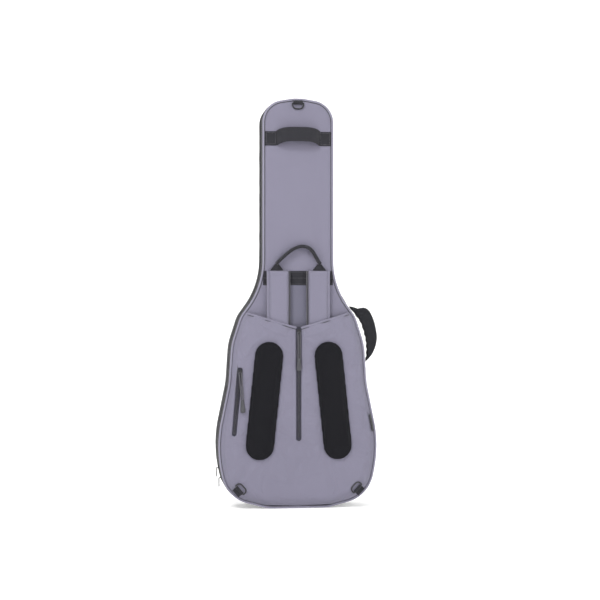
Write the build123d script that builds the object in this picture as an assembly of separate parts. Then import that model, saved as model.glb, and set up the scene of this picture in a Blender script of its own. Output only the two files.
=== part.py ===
from build123d import *
import math
import os

os.makedirs("parts", exist_ok=True)

# Frame: +X right and +Z up as seen from behind the bag, rear face towards -Y.
# The origin is the middle of the flat base, and y = 0 is the plane of the main zip.

# Silhouette, right half: where its straight runs would meet, and the arc at each meeting.
bag_length = 1090.0
base_flat = 80.0
base_flat_radius = 115.0
bout_x = 219.0
bout_z = 166.0
bout_radius = 328.0
corner_in = 28.0
corner_x = bout_x - corner_in
corner_z = 29.0
corner_radius = 95.0
waist_in = 34.0
waist_x = bout_x - waist_in
waist_z = 330.0
waist_radius = 190.0
upper_bout_in = 41.0
upper_bout_x = bout_x - upper_bout_in
upper_bout_z = 436.0
upper_bout_radius = 175.0
shoulder_in = 65.0
shoulder_x = bout_x - shoulder_in
shoulder_z = 510.0
shoulder_radius = 80.0
neck_half = 95.0
neck_root_z = 592.0
neck_root_radius = 206.0
head_drop = 14.0
head_radius = 59.0
crown_half = 13.0
crown_radius = 89.0

# Depths and wall make-up.
rear_depth = 58.0
body_front_depth = 62.0
neck_front_depth = 30.0
taper_low_z = 540.0
taper_high_z = 700.0
taper_radius = 120.0
wall = 8.0
panel = 12.0
panel_lip = 3.0
lip_inset = 5.6
lining = 2.0
lining_gap = 0.5
piping = 5.2
piping_round = 2.4
body_gap = 0.4

# Main zip: its two tapes part along y = 0, and a cloth spine on the right joins the halves.
zip_tape_edge = 9.0
zip_split = 0.6
main_tape_inset = 2.2
main_tape = 2.0
coil_inset = 0.8
coil_depth = 4.0
coil_width = 2.8
spine_low_z = 95.0
spine_high_z = 245.0
upper_slider_angle = 10.6
lower_slider_angle = 17.0
slider_plate = (2.2, 10.0, 16.0)
slider_plate_round = 3.0
slider_web = (0.6, 8.0)
slider_inner_plate = (1.4, 6.6, 10.6)
main_bail = (2.4, 3.0, 3.0)
pull_fit = 0.8
pull_length = 24.0
pull_width = 6.0
pull_thick = 2.4
pull_round = 2.0

# Strap pocket on the rear face: its mouth is a V, and its panel stands off the rear panel.
pocket_cloth = 2.8
pocket_edge_angle = 30.0
mouth_centre_z = 481.0
mouth_side_x = 134.0
mouth_side_z = 521.0

# Centre zip in the strap pocket's panel.
centre_zip_width = 15.0
centre_zip_low_z = 179.0
coil_bead = 5.0
coil_stand = 1.6
tape_cloth = 1.4
tape_sink = 0.5
end_stop = 5.0
slider_length = 13.0
slider_width = 9.0
slider_height = 2.6
slider_round = 3.0
slider_fit = 0.35
flange_length = 8.6
flange_in = 0.4
bail_thick = 1.6
bail_window = 4.4
bail_wall = 1.1
cord_pull_length = 104.0
cord_strand = 2.4
cord_spread = 6.0
grip_length = 36.0
grip_width = 8.5
grip_thick = 5.0
grip_round = 3.0

# Small pocket with a slanting zip beside the left seam.
side_zip_top_clear = 53.6
side_zip_top_z = 375.0
side_zip_low_clear = 36.6
side_zip_low_z = 193.5
side_zip_width = 13.0
side_pull_lean = 4.0
side_pull_length = 108.0
liner_cloth = 1.2
liner_room = 8.0
liner_outer_reach = 8.0
liner_inner_reach = 52.0
liner_end = 6.0

# Back pads on the strap pocket's panel.
pad_width = 77.0
pad_length = 315.0
pad_thick = 9.0
pad_round = 5.0
pad_centre = (91.5, 287.0)
pad_lean = 5.9

# Shoulder straps, stowed in the pocket.
strap_width = 61.0
strap_thick = 10.5
strap_round = 4.5
strap_side_gap = 11.5
strap_centre_x = neck_half - strap_side_gap - strap_width / 2
strap_room = 2.2
strap_top_z = 632.0
strap_low_z = 300.0
webbing = 2.0
pocket_room = webbing + lining_gap + strap_thick + strap_room
anchor_band_low_z = 593.0
band_width = 38.0
tail_width = 25.0
tail_low_z = 178.0
lock_size = (34.0, 5.0, 22.0)
lock_slot = 5.0
lock_slot_fit = 1.0
lock_bar = 5.0
hook_length = 46.0
hook_wire = 5.0
hook_base_height = 8.0
hook_base_over = 5.0
hook_bend = 9.0
hook_tip = 10.0

# Webbing handles.
neck_handle_drop = 108.0
neck_handle_flat = 56.0
neck_handle_stand = 22.0
neck_handle_arc = 20.0
haul_foot_out = 4.0
haul_foot_x = strap_centre_x + haul_foot_out
haul_foot_z = 653.0
haul_top_z = 700.0
haul_left_bend_x = -12.0
haul_right_bend_x = 30.0
haul_thick = 7.0
haul_depth = 16.0
haul_arc = 30.0
haul_stand = 2.5
haul_foot_size = (34.0, 5.0, 15.6)
haul_foot_head = 8.5
haul_foot_gap = 1.2

# Rings and their tabs.
top_ring_width = 34.0
top_ring_height = 19.0
ring_wire = 3.6
ring_corner = 2.4
ring_fit = 0.3
ring_taper = 0.9
ring_bow = 0.7
tab_sheet = 3.0
tab_width = 25.0
top_tab_length = 6.0
lower_ring_in = 33.0
lower_ring_up = 23.0
lower_ring_place = (corner_x - lower_ring_in, corner_z + lower_ring_up)
lower_ring_turn = 48.0
lower_ring_width = 36.0
lower_ring_height = 18.0
lower_tab_length = 14.0

# Carrying handle on the right wall.
side_handle_top_z = 538.0
side_handle_low_z = 385.0
side_handle_gap = 2.0
side_handle_reach = 24.0
side_handle_thick = 31.0
side_handle_width = 26.0
side_handle_tip = 6.0
side_handle_y = -33.0
anchor_length = 26.0
anchor_gap = 2.5

# Seam label.
label_low_z = 204.0
label_high_z = 250.0
label_width = 12.0
label_start = 3.5
label_cloth = 1.0

# Inside: neck cradle, neck strap and end-pin block.
cradle_low_z = 690.0
cradle_high_z = 765.0
cradle_side_gap = 12.0
cradle_width = 2 * (neck_half - wall - cradle_side_gap)
cradle_notch = 66.0
cradle_depth = 30.0
cradle_floor = 10.0
neck_strap_width = 38.0
end_block_in = 22.0
end_block_width = 2 * (base_flat - end_block_in)
end_block_height = 22.0
end_pin_room = 34.0
end_pin_depth = 24.0
end_pin_drop = 14.0

# Front pocket on the lid.
front_pocket_inset = 26.0
front_pocket_low_z = 60.0
front_pocket_high_z = 455.0
front_pocket_depth = 24.0
front_pocket_cloth = 3.0
front_pocket_corner = 24.0
front_pocket_round = 10.0
front_zip_z = 415.0
front_zip_half = 115.0
front_pull_length = 62.0

rear_y = -rear_depth
rear_inner_y = rear_y + panel
lip_y = rear_y + panel_lip
pocket_inner_y = rear_y - pocket_room
pocket_outer_y = pocket_inner_y - pocket_cloth
pocket_edge_run = (pocket_room + pocket_cloth) * math.tan(math.radians(pocket_edge_angle))
side_zip_top = (side_zip_top_clear + pocket_edge_run - bout_x, side_zip_top_z)
side_zip_low = (side_zip_low_clear + pocket_edge_run - bout_x, side_zip_low_z)
overrun = 20.0
cut_over = 1.0
level_thick = 0.1


# Flat faces drawn as (x, z) become slabs between two depths.
def slab(face, y_low, y_high):
    block = extrude(face, y_high - y_low, dir=(0, 0, 1))
    return Rot(90, 0, 0) * (Pos(0, 0, -y_high) * block)


def box_between(low, high):
    size = [b - a for a, b in zip(low, high)]
    centre = [(a + b) / 2 for a, b in zip(low, high)]
    return Pos(*centre) * Box(*size)


def silhouette_corners():
    return [
        (base_flat, 0.0, base_flat_radius),
        (corner_x, corner_z, corner_radius),
        (bout_x, bout_z, bout_radius),
        (waist_x, waist_z, waist_radius),
        (upper_bout_x, upper_bout_z, upper_bout_radius),
        (shoulder_x, shoulder_z, shoulder_radius),
        (neck_half, neck_root_z, neck_root_radius),
        (neck_half, bag_length - head_drop, head_radius),
        (crown_half, bag_length, crown_radius),
    ]


def silhouette(inset=0.0):
    right = silhouette_corners()
    left = [(-x, z, r) for x, z, r in reversed(right)]
    corners = right + left
    points = [(x, z) for x, z, r in corners]
    radii = [r for x, z, r in corners]
    face = make_face(FilletPolyline(*points, radius=radii, close=True))
    return offset(face, amount=-inset) if inset else face


# Half-width of the silhouette at a height, and the arc of one of its corners.
def half_width(z, inset=0.0):
    reach = bout_x + overrun
    level = box_between((0, -cut_over, z - level_thick / 2), (reach, cut_over, z + level_thick / 2))
    return (slab(silhouette(inset), -cut_over, cut_over) & level).bounding_box().max.X


def corner_arc_centre(index):
    corners = silhouette_corners()
    before, here, after = [Vector(x, z) for x, z, r in corners[index - 1:index + 2]]
    radius = corners[index][2]
    back = (before - here).normalized()
    ahead = (after - here).normalized()
    middle = (back + ahead).normalized()
    half_angle = math.radians(back.get_angle(ahead)) / 2
    return here + middle * (radius / math.sin(half_angle)), radius


def ring(outer_inset, inner_inset):
    return silhouette(outer_inset) - silhouette(inner_inset)


# Everything behind the lid's front surface, drawn in by an inset: deep body, shallower neck.
def lid_depth(inset):
    high_z = bag_length + overrun
    front = FilletPolyline(
        (body_front_depth - inset, -overrun),
        (body_front_depth - inset, taper_low_z),
        (neck_front_depth - inset, taper_high_z),
        (neck_front_depth - inset, high_z),
        radius=taper_radius,
    )
    back = Polyline(front @ 1, (-overrun, high_z), (-overrun, -overrun), front @ 0)
    return extrude(Plane.YZ * make_face(front + back), bout_x + overrun, both=True)


def lid_layer(face, outer_inset, inner_inset):
    block = slab(face, zip_tape_edge, body_front_depth + overrun)
    return block & (lid_depth(outer_inset) - lid_depth(inner_inset))


def rear_panel():
    lip = slab(silhouette(lip_inset), rear_y, lip_y)
    core = slab(silhouette(wall), lip_y, rear_inner_y)
    return lip + core


def rear_lining():
    return slab(silhouette(wall + lining_gap), rear_inner_y, rear_inner_y + lining)


def rear_gusset():
    return slab(ring(0.0, wall), lip_y, -zip_tape_edge)


def rear_piping():
    band = slab(ring(0.0, piping), lip_y - piping, lip_y)
    return fillet(band.edges(), piping_round)


def spine_room(margin):
    low = (0, -overrun, spine_low_z - margin)
    high = (bout_x + overrun, overrun, spine_high_z + margin)
    return box_between(low, high)


def main_zip_half():
    cloth = slab(ring(main_tape_inset, main_tape_inset + main_tape), -zip_tape_edge, -zip_split)
    coil = slab(ring(coil_inset, coil_inset + coil_depth), -zip_split - coil_width, -zip_split)
    return cloth + coil


def main_zip_tape_rear():
    return main_zip_half() - spine_room(0.0)


def main_zip_tape_front():
    return mirror(main_zip_half(), about=Plane.XZ) - spine_room(body_gap)


def spine_hinge():
    band = slab(ring(main_tape_inset, main_tape_inset + main_tape), -zip_tape_edge, zip_tape_edge - body_gap)
    return band & spine_room(0.0)


def front_panel():
    lip = lid_layer(silhouette(lip_inset), 0.0, panel_lip)
    core = lid_layer(silhouette(wall), panel_lip, panel)
    return lip + core


def front_lining():
    return lid_layer(silhouette(wall + lining_gap), panel, panel + lining)


def front_gusset():
    block = slab(ring(0.0, wall), zip_tape_edge, body_front_depth)
    return block & lid_depth(panel_lip)


def front_piping():
    return lid_layer(ring(0.0, piping), panel_lip - piping, panel_lip)


# Main zip sliders follow the arcs of the left lower corner. Each is drawn upright on the
# left wall with its track at x = 0, then turned about the arc's centre.
def main_slider():
    thick, width, length = slider_plate
    top = coil_inset - slider_fit
    under = coil_inset + coil_depth + slider_fit
    outer = box_between((top - thick, -width / 2, -length / 2), (top, width / 2, length / 2))
    outer = fillet(outer.edges().filter_by(Axis.X), slider_plate_round)
    web_thick, web_length = slider_web
    web = box_between((top, -web_thick / 2, -web_length / 2), (under, web_thick / 2, web_length / 2))
    inner_thick, inner_width, inner_length = slider_inner_plate
    inner = box_between(
        (under, -inner_width / 2, -inner_length / 2), (under + inner_thick, inner_width / 2, inner_length / 2)
    )
    bail_height, bail_width, bail_length = main_bail
    bail = box_between(
        (top - thick - bail_height, -bail_width / 2, -bail_length / 2),
        (top - thick, bail_width / 2, bail_length / 2),
    )
    return outer + web + inner + bail


def on_left_arc(index, angle, shape):
    centre, radius = corner_arc_centre(index)
    moved = Pos(-radius, 0, 0) * shape
    return Pos(-centre.X, 0, centre.Y) * (Rot(0, -angle, 0) * moved)


def arc_pull(index, angle):
    centre, radius = corner_arc_centre(index)
    reach = radius - coil_inset + slider_fit + slider_plate[0] + main_bail[0] + pull_fit + pull_thick / 2
    x = -centre.X - reach * math.cos(math.radians(angle))
    z = centre.Y - reach * math.sin(math.radians(angle))
    tab = box_between((x - pull_thick / 2, -pull_width / 2, z - pull_length),
                      (x + pull_thick / 2, pull_width / 2, z + pull_thick / 2))
    return fillet(tab.edges().filter_by(Axis.X), pull_round)


def main_slider_upper():
    return on_left_arc(2, upper_slider_angle, main_slider())


def main_slider_lower():
    return on_left_arc(1, lower_slider_angle, main_slider())


def main_pull_upper():
    return arc_pull(2, upper_slider_angle)


def main_pull_lower():
    return arc_pull(1, lower_slider_angle)


# The strap pocket's panel: a dished skin sewn round the rear panel, cut off along the mouth.
def dished_block(base_inset, height):
    block = extrude(silhouette(base_inset), height, dir=(0, 0, 1), taper=pocket_edge_angle)
    return Pos(0, rear_y, 0) * (Rot(90, 0, 0) * block)


def below_mouth(y_low, y_high):
    slope = (mouth_side_z - mouth_centre_z) / mouth_side_x
    reach = bout_x + overrun
    side_z = mouth_centre_z + slope * reach
    outline = Polyline(
        (0, mouth_centre_z), (reach, side_z), (reach, -overrun), (-reach, -overrun), (-reach, side_z),
        close=True,
    )
    return slab(make_face(outline), y_low, y_high)


def upright_slot(width, low_z, high_z):
    centre_z = (low_z + high_z) / 2
    return Pos(0, centre_z) * (Rot(0, 0, 90) * SlotOverall(high_z - low_z, width))


def side_zip_length():
    return math.dist(side_zip_top, side_zip_low)


def side_zip_angle():
    return math.degrees(math.atan2(side_zip_top[0] - side_zip_low[0], side_zip_top[1] - side_zip_low[1]))


# Moves what is drawn about the origin with its length upright onto the slanting zip's middle.
def on_side_zip(shape):
    x = (side_zip_top[0] + side_zip_low[0]) / 2
    z = (side_zip_top[1] + side_zip_low[1]) / 2
    return Pos(x, 0, z) * (Rot(0, side_zip_angle(), 0) * shape)


def strap_pocket_panel():
    skin = dished_block(lip_inset, pocket_room + pocket_cloth)
    hollow = dished_block(lip_inset + pocket_cloth, pocket_room)
    shell = (skin - hollow) & below_mouth(pocket_outer_y - cut_over, rear_y + cut_over)
    zip_room = slab(
        upright_slot(centre_zip_width, centre_zip_low_z, mouth_centre_z + overrun + centre_zip_width),
        pocket_outer_y - cut_over, pocket_inner_y + cut_over,
    )
    side_room = on_side_zip(slab(
        upright_slot(side_zip_width, -side_zip_length() / 2, side_zip_length() / 2),
        pocket_outer_y - cut_over, pocket_inner_y + cut_over,
    ))
    return shell - zip_room - side_room


# A zip tape with its raised coil, drawn upright, filling a slot in a panel.
def zip_strip(width, low_z, high_z, face_y):
    cloth = slab(upright_slot(width, low_z, high_z), face_y + tape_sink, face_y + tape_sink + tape_cloth)
    coil = box_between(
        (-coil_bead / 2, face_y + tape_sink - coil_stand, low_z + end_stop),
        (coil_bead / 2, face_y + tape_sink, high_z - end_stop),
    )
    return cloth + coil


def centre_zip_tape():
    strip = zip_strip(centre_zip_width, centre_zip_low_z, mouth_centre_z + centre_zip_width, pocket_outer_y)
    return strip & below_mouth(pocket_outer_y - overrun, rear_y)


def side_zip_tape():
    half = side_zip_length() / 2
    return on_side_zip(zip_strip(side_zip_width, -half, half, pocket_outer_y))


# A slider saddles the coil: a plate over it, a flange down each side, and a bail for the pull.
# The bail's window faces sideways, or along the zip where it is turned.
def saddle_slider(face_y, bail_turn=0.0):
    coil_top = face_y + tape_sink - coil_stand
    plate_low = coil_top - slider_fit
    plate_high = plate_low - slider_height
    plate = box_between(
        (-slider_width / 2, plate_high, -slider_length / 2), (slider_width / 2, plate_low, slider_length / 2)
    )
    plate = fillet(plate.edges().filter_by(Axis.Y), slider_round)
    inner = coil_bead / 2 + slider_fit
    flange_high = face_y + tape_sink - slider_fit
    for side in (-1, 1):
        near, far = sorted((side * inner, side * (slider_width / 2 - flange_in)))
        plate += box_between((near, plate_low, -flange_length / 2), (far, flange_high, flange_length / 2))
    arch = Box(bail_thick, bail_window + bail_wall, bail_window + 2 * bail_wall)
    window = Box(bail_thick + cut_over, bail_window, bail_window)
    bail = Pos(0, plate_high - (bail_window + bail_wall) / 2, 0) * arch
    bail = bail - Pos(0, plate_high - bail_window / 2, 0) * window
    return plate + Rot(0, bail_turn, 0) * bail


def pull_pivot_y(face_y):
    return face_y + tape_sink - coil_stand - slider_fit - slider_height - bail_window / 2


# A cord pull: a loop of two strands through the bail, and a moulded grip on their lower end.
def cord_pull(face_y, length):
    y = pull_pivot_y(face_y)
    strand_length = length - grip_length
    run = strand_length + cord_spread / 2
    loop = SlotOverall(run + cord_strand, cord_spread + cord_strand)
    hole = SlotOverall(run - cord_strand, cord_spread - cord_strand)
    strands = Rot(0, 0, 90) * (loop - hole)
    strands = slab(Pos(0, -run / 2) * strands, y - cord_strand / 2, y + cord_strand / 2)
    grip = box_between(
        (-grip_width / 2, y - grip_thick / 2, -length), (grip_width / 2, y + grip_thick / 2, -strand_length)
    )
    grip = fillet(grip.edges().filter_by(Axis.Y), grip_round)
    return strands + grip


def centre_slider_z():
    return mouth_centre_z - end_stop - slider_length / 2


def centre_zip_slider():
    return Pos(0, 0, centre_slider_z()) * saddle_slider(pocket_outer_y)


def centre_zip_pull():
    return Pos(0, 0, centre_slider_z()) * cord_pull(pocket_outer_y, cord_pull_length)


def side_slider_offset():
    return side_zip_length() / 2 - end_stop - slider_length / 2


def side_zip_slider():
    return on_side_zip(Pos(0, 0, side_slider_offset()) * saddle_slider(pocket_outer_y))


def side_zip_pull():
    hung = Rot(0, -side_pull_lean - side_zip_angle(), 0) * cord_pull(pocket_outer_y, side_pull_length)
    return on_side_zip(Pos(0, 0, side_slider_offset()) * hung)


# Pouch behind the slanting zip: a tray whose open side is closed by the pocket's panel.
def side_pocket_liner():
    half = side_zip_length() / 2 + liner_end
    back_y = pocket_inner_y + liner_room + liner_cloth
    tray = box_between((-liner_outer_reach, pocket_inner_y, -half), (liner_inner_reach, back_y, half))
    room = box_between(
        (-liner_outer_reach + liner_cloth, pocket_inner_y - cut_over, -half + liner_cloth),
        (liner_inner_reach - liner_cloth, back_y - liner_cloth, half - liner_cloth),
    )
    return on_side_zip(tray - room)


def back_pad(side):
    face = Rot(0, 0, 90 + side * pad_lean) * SlotOverall(pad_length, pad_width)
    pad = slab(face, pocket_outer_y - pad_thick, pocket_outer_y)
    outer_edges = pad.edges().group_by(Axis.Y)[0]
    x, z = pad_centre
    return Pos(side * x, 0, z) * fillet(outer_edges, pad_round)


# Shoulder straps: padded upper part over the anchor band, then lock, webbing and hook in the pocket.
def strap_y():
    return rear_y - webbing - lining_gap


def strap_anchor_band():
    top_z = anchor_band_low_z + band_width
    band = box_between(
        (-bout_x, rear_y - webbing, anchor_band_low_z), (bout_x, rear_y, top_z)
    )
    return band & slab(silhouette(lip_inset), rear_y - webbing, rear_y)


def strap_pad(side):
    back_y = strap_y()
    pad = box_between(
        (-strap_width / 2, back_y - strap_thick, strap_low_z), (strap_width / 2, back_y, strap_top_z)
    )
    return Pos(side * strap_centre_x, 0, 0) * fillet(pad.edges().filter_by(Axis.Z), strap_round)


def strap_middle_y():
    return strap_y() - strap_thick / 2


def ladder_lock(side):
    width, depth, height = lock_size
    y = strap_middle_y()
    frame = Box(width, depth, height)
    window = Box(tail_width + lock_slot_fit, depth + cut_over, lock_slot)
    frame = frame - Pos(0, 0, lock_bar) * window - Pos(0, 0, -lock_bar) * window
    return Pos(side * strap_centre_x, y, strap_low_z - height / 2) * frame


def strap_tail(side):
    y = strap_middle_y()
    top_z = strap_low_z - lock_size[2]
    tail = box_between(
        (-tail_width / 2, y - webbing / 2, tail_low_z), (tail_width / 2, y + webbing / 2, top_z)
    )
    return Pos(side * strap_centre_x, 0, 0) * tail


# A snap hook: an open hook on a swivel base that holds the webbing.
def snap_hook(side):
    y = strap_middle_y()
    base_z = tail_low_z - hook_base_height
    base = Box(tail_width + hook_base_over, hook_wire, hook_base_height)
    base = Pos(0, y, base_z + hook_base_height / 2) * base
    low_z = tail_low_z - hook_length
    path = FilletPolyline(
        (hook_bend, base_z), (hook_bend, low_z),
        (-hook_bend, low_z), (-hook_bend, low_z + hook_bend + hook_tip),
        radius=hook_bend - level_thick,
    )
    trace = offset(path, amount=hook_wire / 2, side=Side.BOTH)
    hook = slab(make_face(trace), y - hook_wire / 2, y + hook_wire / 2)
    return Pos(side * strap_centre_x, 0, 0) * (base + hook)


# Webbing handle across the neck: sewn flat at both ends, standing off the panel between them.
def neck_handle():
    top_z = bag_length - neck_handle_drop + band_width / 2
    flat_y = rear_y - webbing / 2
    stand_y = flat_y - neck_handle_stand
    inner_x = neck_handle_flat - neck_handle_stand
    end_x = neck_half - lip_inset - webbing / 2
    path = FilletPolyline(
        (-end_x, flat_y), (-neck_handle_flat, flat_y), (-inner_x, stand_y),
        (inner_x, stand_y), (neck_handle_flat, flat_y), (end_x, flat_y),
        radius=neck_handle_arc,
    )
    trace = make_face(offset(path, amount=webbing / 2, side=Side.BOTH))
    return Pos(0, 0, top_z - band_width) * extrude(trace, band_width, dir=(0, 0, 1))


def haul_middle_y():
    return rear_y - haul_stand - haul_depth / 2


# Haul loop, a thick ribbon standing edge-on in an arch between two sewn feet.
def haul_loop():
    top = haul_top_z - haul_thick / 2
    path = FilletPolyline(
        (-haul_foot_x, haul_foot_z), (haul_left_bend_x, top), (haul_right_bend_x, top),
        (haul_foot_x, haul_foot_z), radius=haul_arc,
    )
    ribbon = make_face(offset(path, amount=haul_thick / 2, side=Side.BOTH))
    y = haul_middle_y()
    return slab(ribbon, y - haul_depth / 2, y + haul_depth / 2)


def haul_feet():
    width, depth, height = haul_foot_size
    top_z = haul_foot_z - haul_thick / 2 - haul_foot_gap
    feet = []
    for side in (-1, 1):
        corners = (
            (-width / 2, top_z - height), (width / 2, top_z - height),
            (haul_foot_head / 2, top_z), (-haul_foot_head / 2, top_z),
        )
        foot = slab(make_face(Polyline(*corners, close=True)), rear_y - depth, rear_y)
        feet.append(Pos(side * haul_foot_x, 0, 0) * foot)
    return Compound(children=feet)


# D-rings: a straight bar and an arched bow, in a loop of webbing sewn at the seam.
def d_ring(width, height):
    half = width / 2 - ring_wire / 2
    drop = height - ring_wire
    path = FilletPolyline(
        (-half, 0, 0), (half, 0, 0), (half * ring_taper, 0, -drop), (-half * ring_taper, 0, -drop),
        radius=[ring_corner, ring_corner, drop * ring_bow, drop * ring_bow], close=True,
    )
    start = Plane(path @ 0, z_dir=path % 0)
    return sweep(start * Circle(ring_wire / 2), path=path)


def ring_tab(length):
    bore = ring_wire / 2 + ring_fit
    outer = bore + webbing
    loop = Rot(0, 90, 0) * Cylinder(outer, tab_width)
    sheet = box_between((-tab_width / 2, outer - tab_sheet, 0), (tab_width / 2, outer, length))
    hole = Rot(0, 90, 0) * Cylinder(bore, tab_width + cut_over)
    return loop + sheet - hole


def top_ring_z():
    return bag_length - lip_inset - webbing / 2 - top_tab_length


def ring_y():
    return rear_y - ring_wire / 2 - ring_fit - webbing


def top_ring_tab():
    return Pos(0, ring_y(), top_ring_z()) * ring_tab(top_tab_length)


def top_d_ring():
    return Pos(0, ring_y(), top_ring_z()) * d_ring(top_ring_width, top_ring_height)


# The lower rings hang inward and upward from the bottom corners, on the pocket's panel.
def lower_ring_y():
    return pocket_outer_y - ring_wire / 2 - ring_fit - webbing


def at_lower_ring(side, shape):
    x, z = lower_ring_place
    turned = Rot(0, side * (180 - lower_ring_turn), 0) * shape
    return Pos(side * x, lower_ring_y(), z) * turned


def lower_ring_tab(side):
    return at_lower_ring(side, ring_tab(lower_tab_length))


def lower_d_ring(side):
    return at_lower_ring(side, d_ring(lower_ring_width, lower_ring_height))


# A point on the right wall at a height, and the handle's ends stood off it by a gap.
def wall_point(z, stand=0.0):
    return Vector(half_width(z) + stand, z)


# Carrying handle: a padded crescent that stands out from the right wall between two anchors.
def side_handle():
    top = wall_point(side_handle_top_z, side_handle_gap)
    low = wall_point(side_handle_low_z, side_handle_gap)
    along = (low - top).normalized()
    outward = Vector(-along.Y, along.X)
    middle = (top + low) * 0.5
    inner_middle = middle + outward * side_handle_reach
    outer_middle = inner_middle + outward * side_handle_thick
    outer_arc = ThreePointArc(top, outer_middle, low)
    inner_arc = ThreePointArc(low, inner_middle, top)
    crescent = slab(make_face(outer_arc + inner_arc), -side_handle_width / 2, side_handle_width / 2)
    half = (low - top).length / 2
    tip = side_handle_tip / 2
    near = ThreePointArc((-half, -tip), (0, -side_handle_width / 2), (half, -tip))
    far = ThreePointArc((half, tip), (0, side_handle_width / 2), (-half, tip))
    ends = Polyline((-half, tip), (-half, -tip)), Polyline((half, -tip), (half, tip))
    lens = make_face(ends[0] + near + ends[1] + far)
    plan = Plane((middle.X, 0, middle.Y), x_dir=(along.X, 0, along.Y), z_dir=(outward.X, 0, outward.Y))
    reach = side_handle_reach + side_handle_thick + overrun
    return Pos(0, side_handle_y, 0) * (crescent & extrude(plan * lens, reach, both=True))


# Webbing anchors of the handle, sewn flat on the wall beyond each of its ends.
def side_handle_anchors():
    anchors = []
    for high_z in (side_handle_top_z + anchor_gap + anchor_length, side_handle_low_z - anchor_gap):
        top = wall_point(high_z)
        low = wall_point(high_z - anchor_length)
        lean = math.degrees(math.atan2(top.X - low.X, top.Y - low.Y))
        patch = box_between((0, -side_handle_width / 2, -anchor_length / 2),
                            (webbing, side_handle_width / 2, anchor_length / 2))
        middle = (top + low) * 0.5
        anchors.append(Pos(middle.X, side_handle_y, middle.Y) * (Rot(0, lean, 0) * patch))
    return Compound(children=anchors)


def seam_label():
    top = half_width(label_high_z, lip_inset)
    low = half_width(label_low_z, lip_inset)
    lean = math.degrees(math.atan2(top - low, label_high_z - label_low_z))
    height = label_high_z - label_low_z
    flag = box_between(
        (-label_start - label_width, -label_cloth, -height / 2), (-label_start, 0, height / 2)
    )
    flag = Rot(0, lean, 0) * (Rot(0, 0, 90 - pocket_edge_angle) * flag)
    return Pos((top + low) / 2 + label_cloth, rear_y, (label_low_z + label_high_z) / 2) * flag


# Inside the bag: a notched cradle for the guitar's neck, its closing strap, and an end-pin block.
def neck_cradle():
    low_y = rear_inner_y + lining
    block = box_between(
        (-cradle_width / 2, low_y, cradle_low_z), (cradle_width / 2, low_y + cradle_depth, cradle_high_z)
    )
    notch = box_between(
        (-cradle_notch / 2, low_y + cradle_floor, cradle_low_z - cut_over),
        (cradle_notch / 2, low_y + cradle_depth + cut_over, cradle_high_z + cut_over),
    )
    return block - notch


def neck_strap():
    y = rear_inner_y + lining + cradle_depth
    middle_z = (cradle_low_z + cradle_high_z) / 2
    return box_between(
        (-cradle_width / 2, y, middle_z - neck_strap_width / 2),
        (cradle_width / 2, y + webbing, middle_z + neck_strap_width / 2),
    )


def end_pin_block():
    low_y = rear_inner_y + lining
    block = box_between(
        (-end_block_width / 2, low_y, wall), (end_block_width / 2, -zip_tape_edge, wall + end_block_height)
    )
    notch = Box(end_pin_room, end_pin_depth, 2 * end_pin_drop)
    return block - Pos(0, (low_y - zip_tape_edge) / 2, wall + end_block_height) * notch


# Front pocket on the lid, with a straight zip across its face.
def front_pocket_face(inset):
    window = Pos(0, (front_pocket_low_z + front_pocket_high_z) / 2) * Rectangle(
        2 * bout_x, front_pocket_high_z - front_pocket_low_z - 2 * inset
    )
    return silhouette(front_pocket_inset + inset) & window


def front_pocket_y():
    return body_front_depth + front_pocket_depth


def front_pocket():
    shell = slab(front_pocket_face(0.0), body_front_depth, front_pocket_y())
    shell = fillet(shell.edges().filter_by(Axis.Y), front_pocket_corner)
    outer_edges = shell.edges().group_by(Axis.Y)[-1]
    shell = fillet(outer_edges, front_pocket_round)
    room = slab(
        front_pocket_face(front_pocket_cloth),
        body_front_depth - cut_over, front_pocket_y() - front_pocket_cloth,
    )
    room = fillet(room.edges().filter_by(Axis.Y), front_pocket_corner - front_pocket_cloth)
    return shell - room - front_zip_room()


def on_front_zip(shape):
    turned = Rot(0, 90, 0) * (Rot(0, 0, 180) * shape)
    return Pos(0, 0, front_zip_z) * turned


def front_zip_room():
    slot = upright_slot(side_zip_width, -front_zip_half, front_zip_half)
    inner_y = -front_pocket_y() + front_pocket_cloth
    return on_front_zip(slab(slot, -front_pocket_y() - cut_over, inner_y + cut_over))


def front_zip_tape():
    return on_front_zip(zip_strip(side_zip_width, -front_zip_half, front_zip_half, -front_pocket_y()))


def front_slider_offset():
    return front_zip_half - end_stop - slider_length / 2


def front_zip_slider():
    return on_front_zip(Pos(0, 0, front_slider_offset()) * saddle_slider(-front_pocket_y(), 90.0))


def front_zip_pull():
    hung = Rot(0, 0, 180) * cord_pull(-front_pocket_y(), front_pull_length)
    return Pos(front_slider_offset(), 0, front_zip_z) * hung


def write(name, shape):
    export_step(shape, f"parts/{name}.step")


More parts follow.
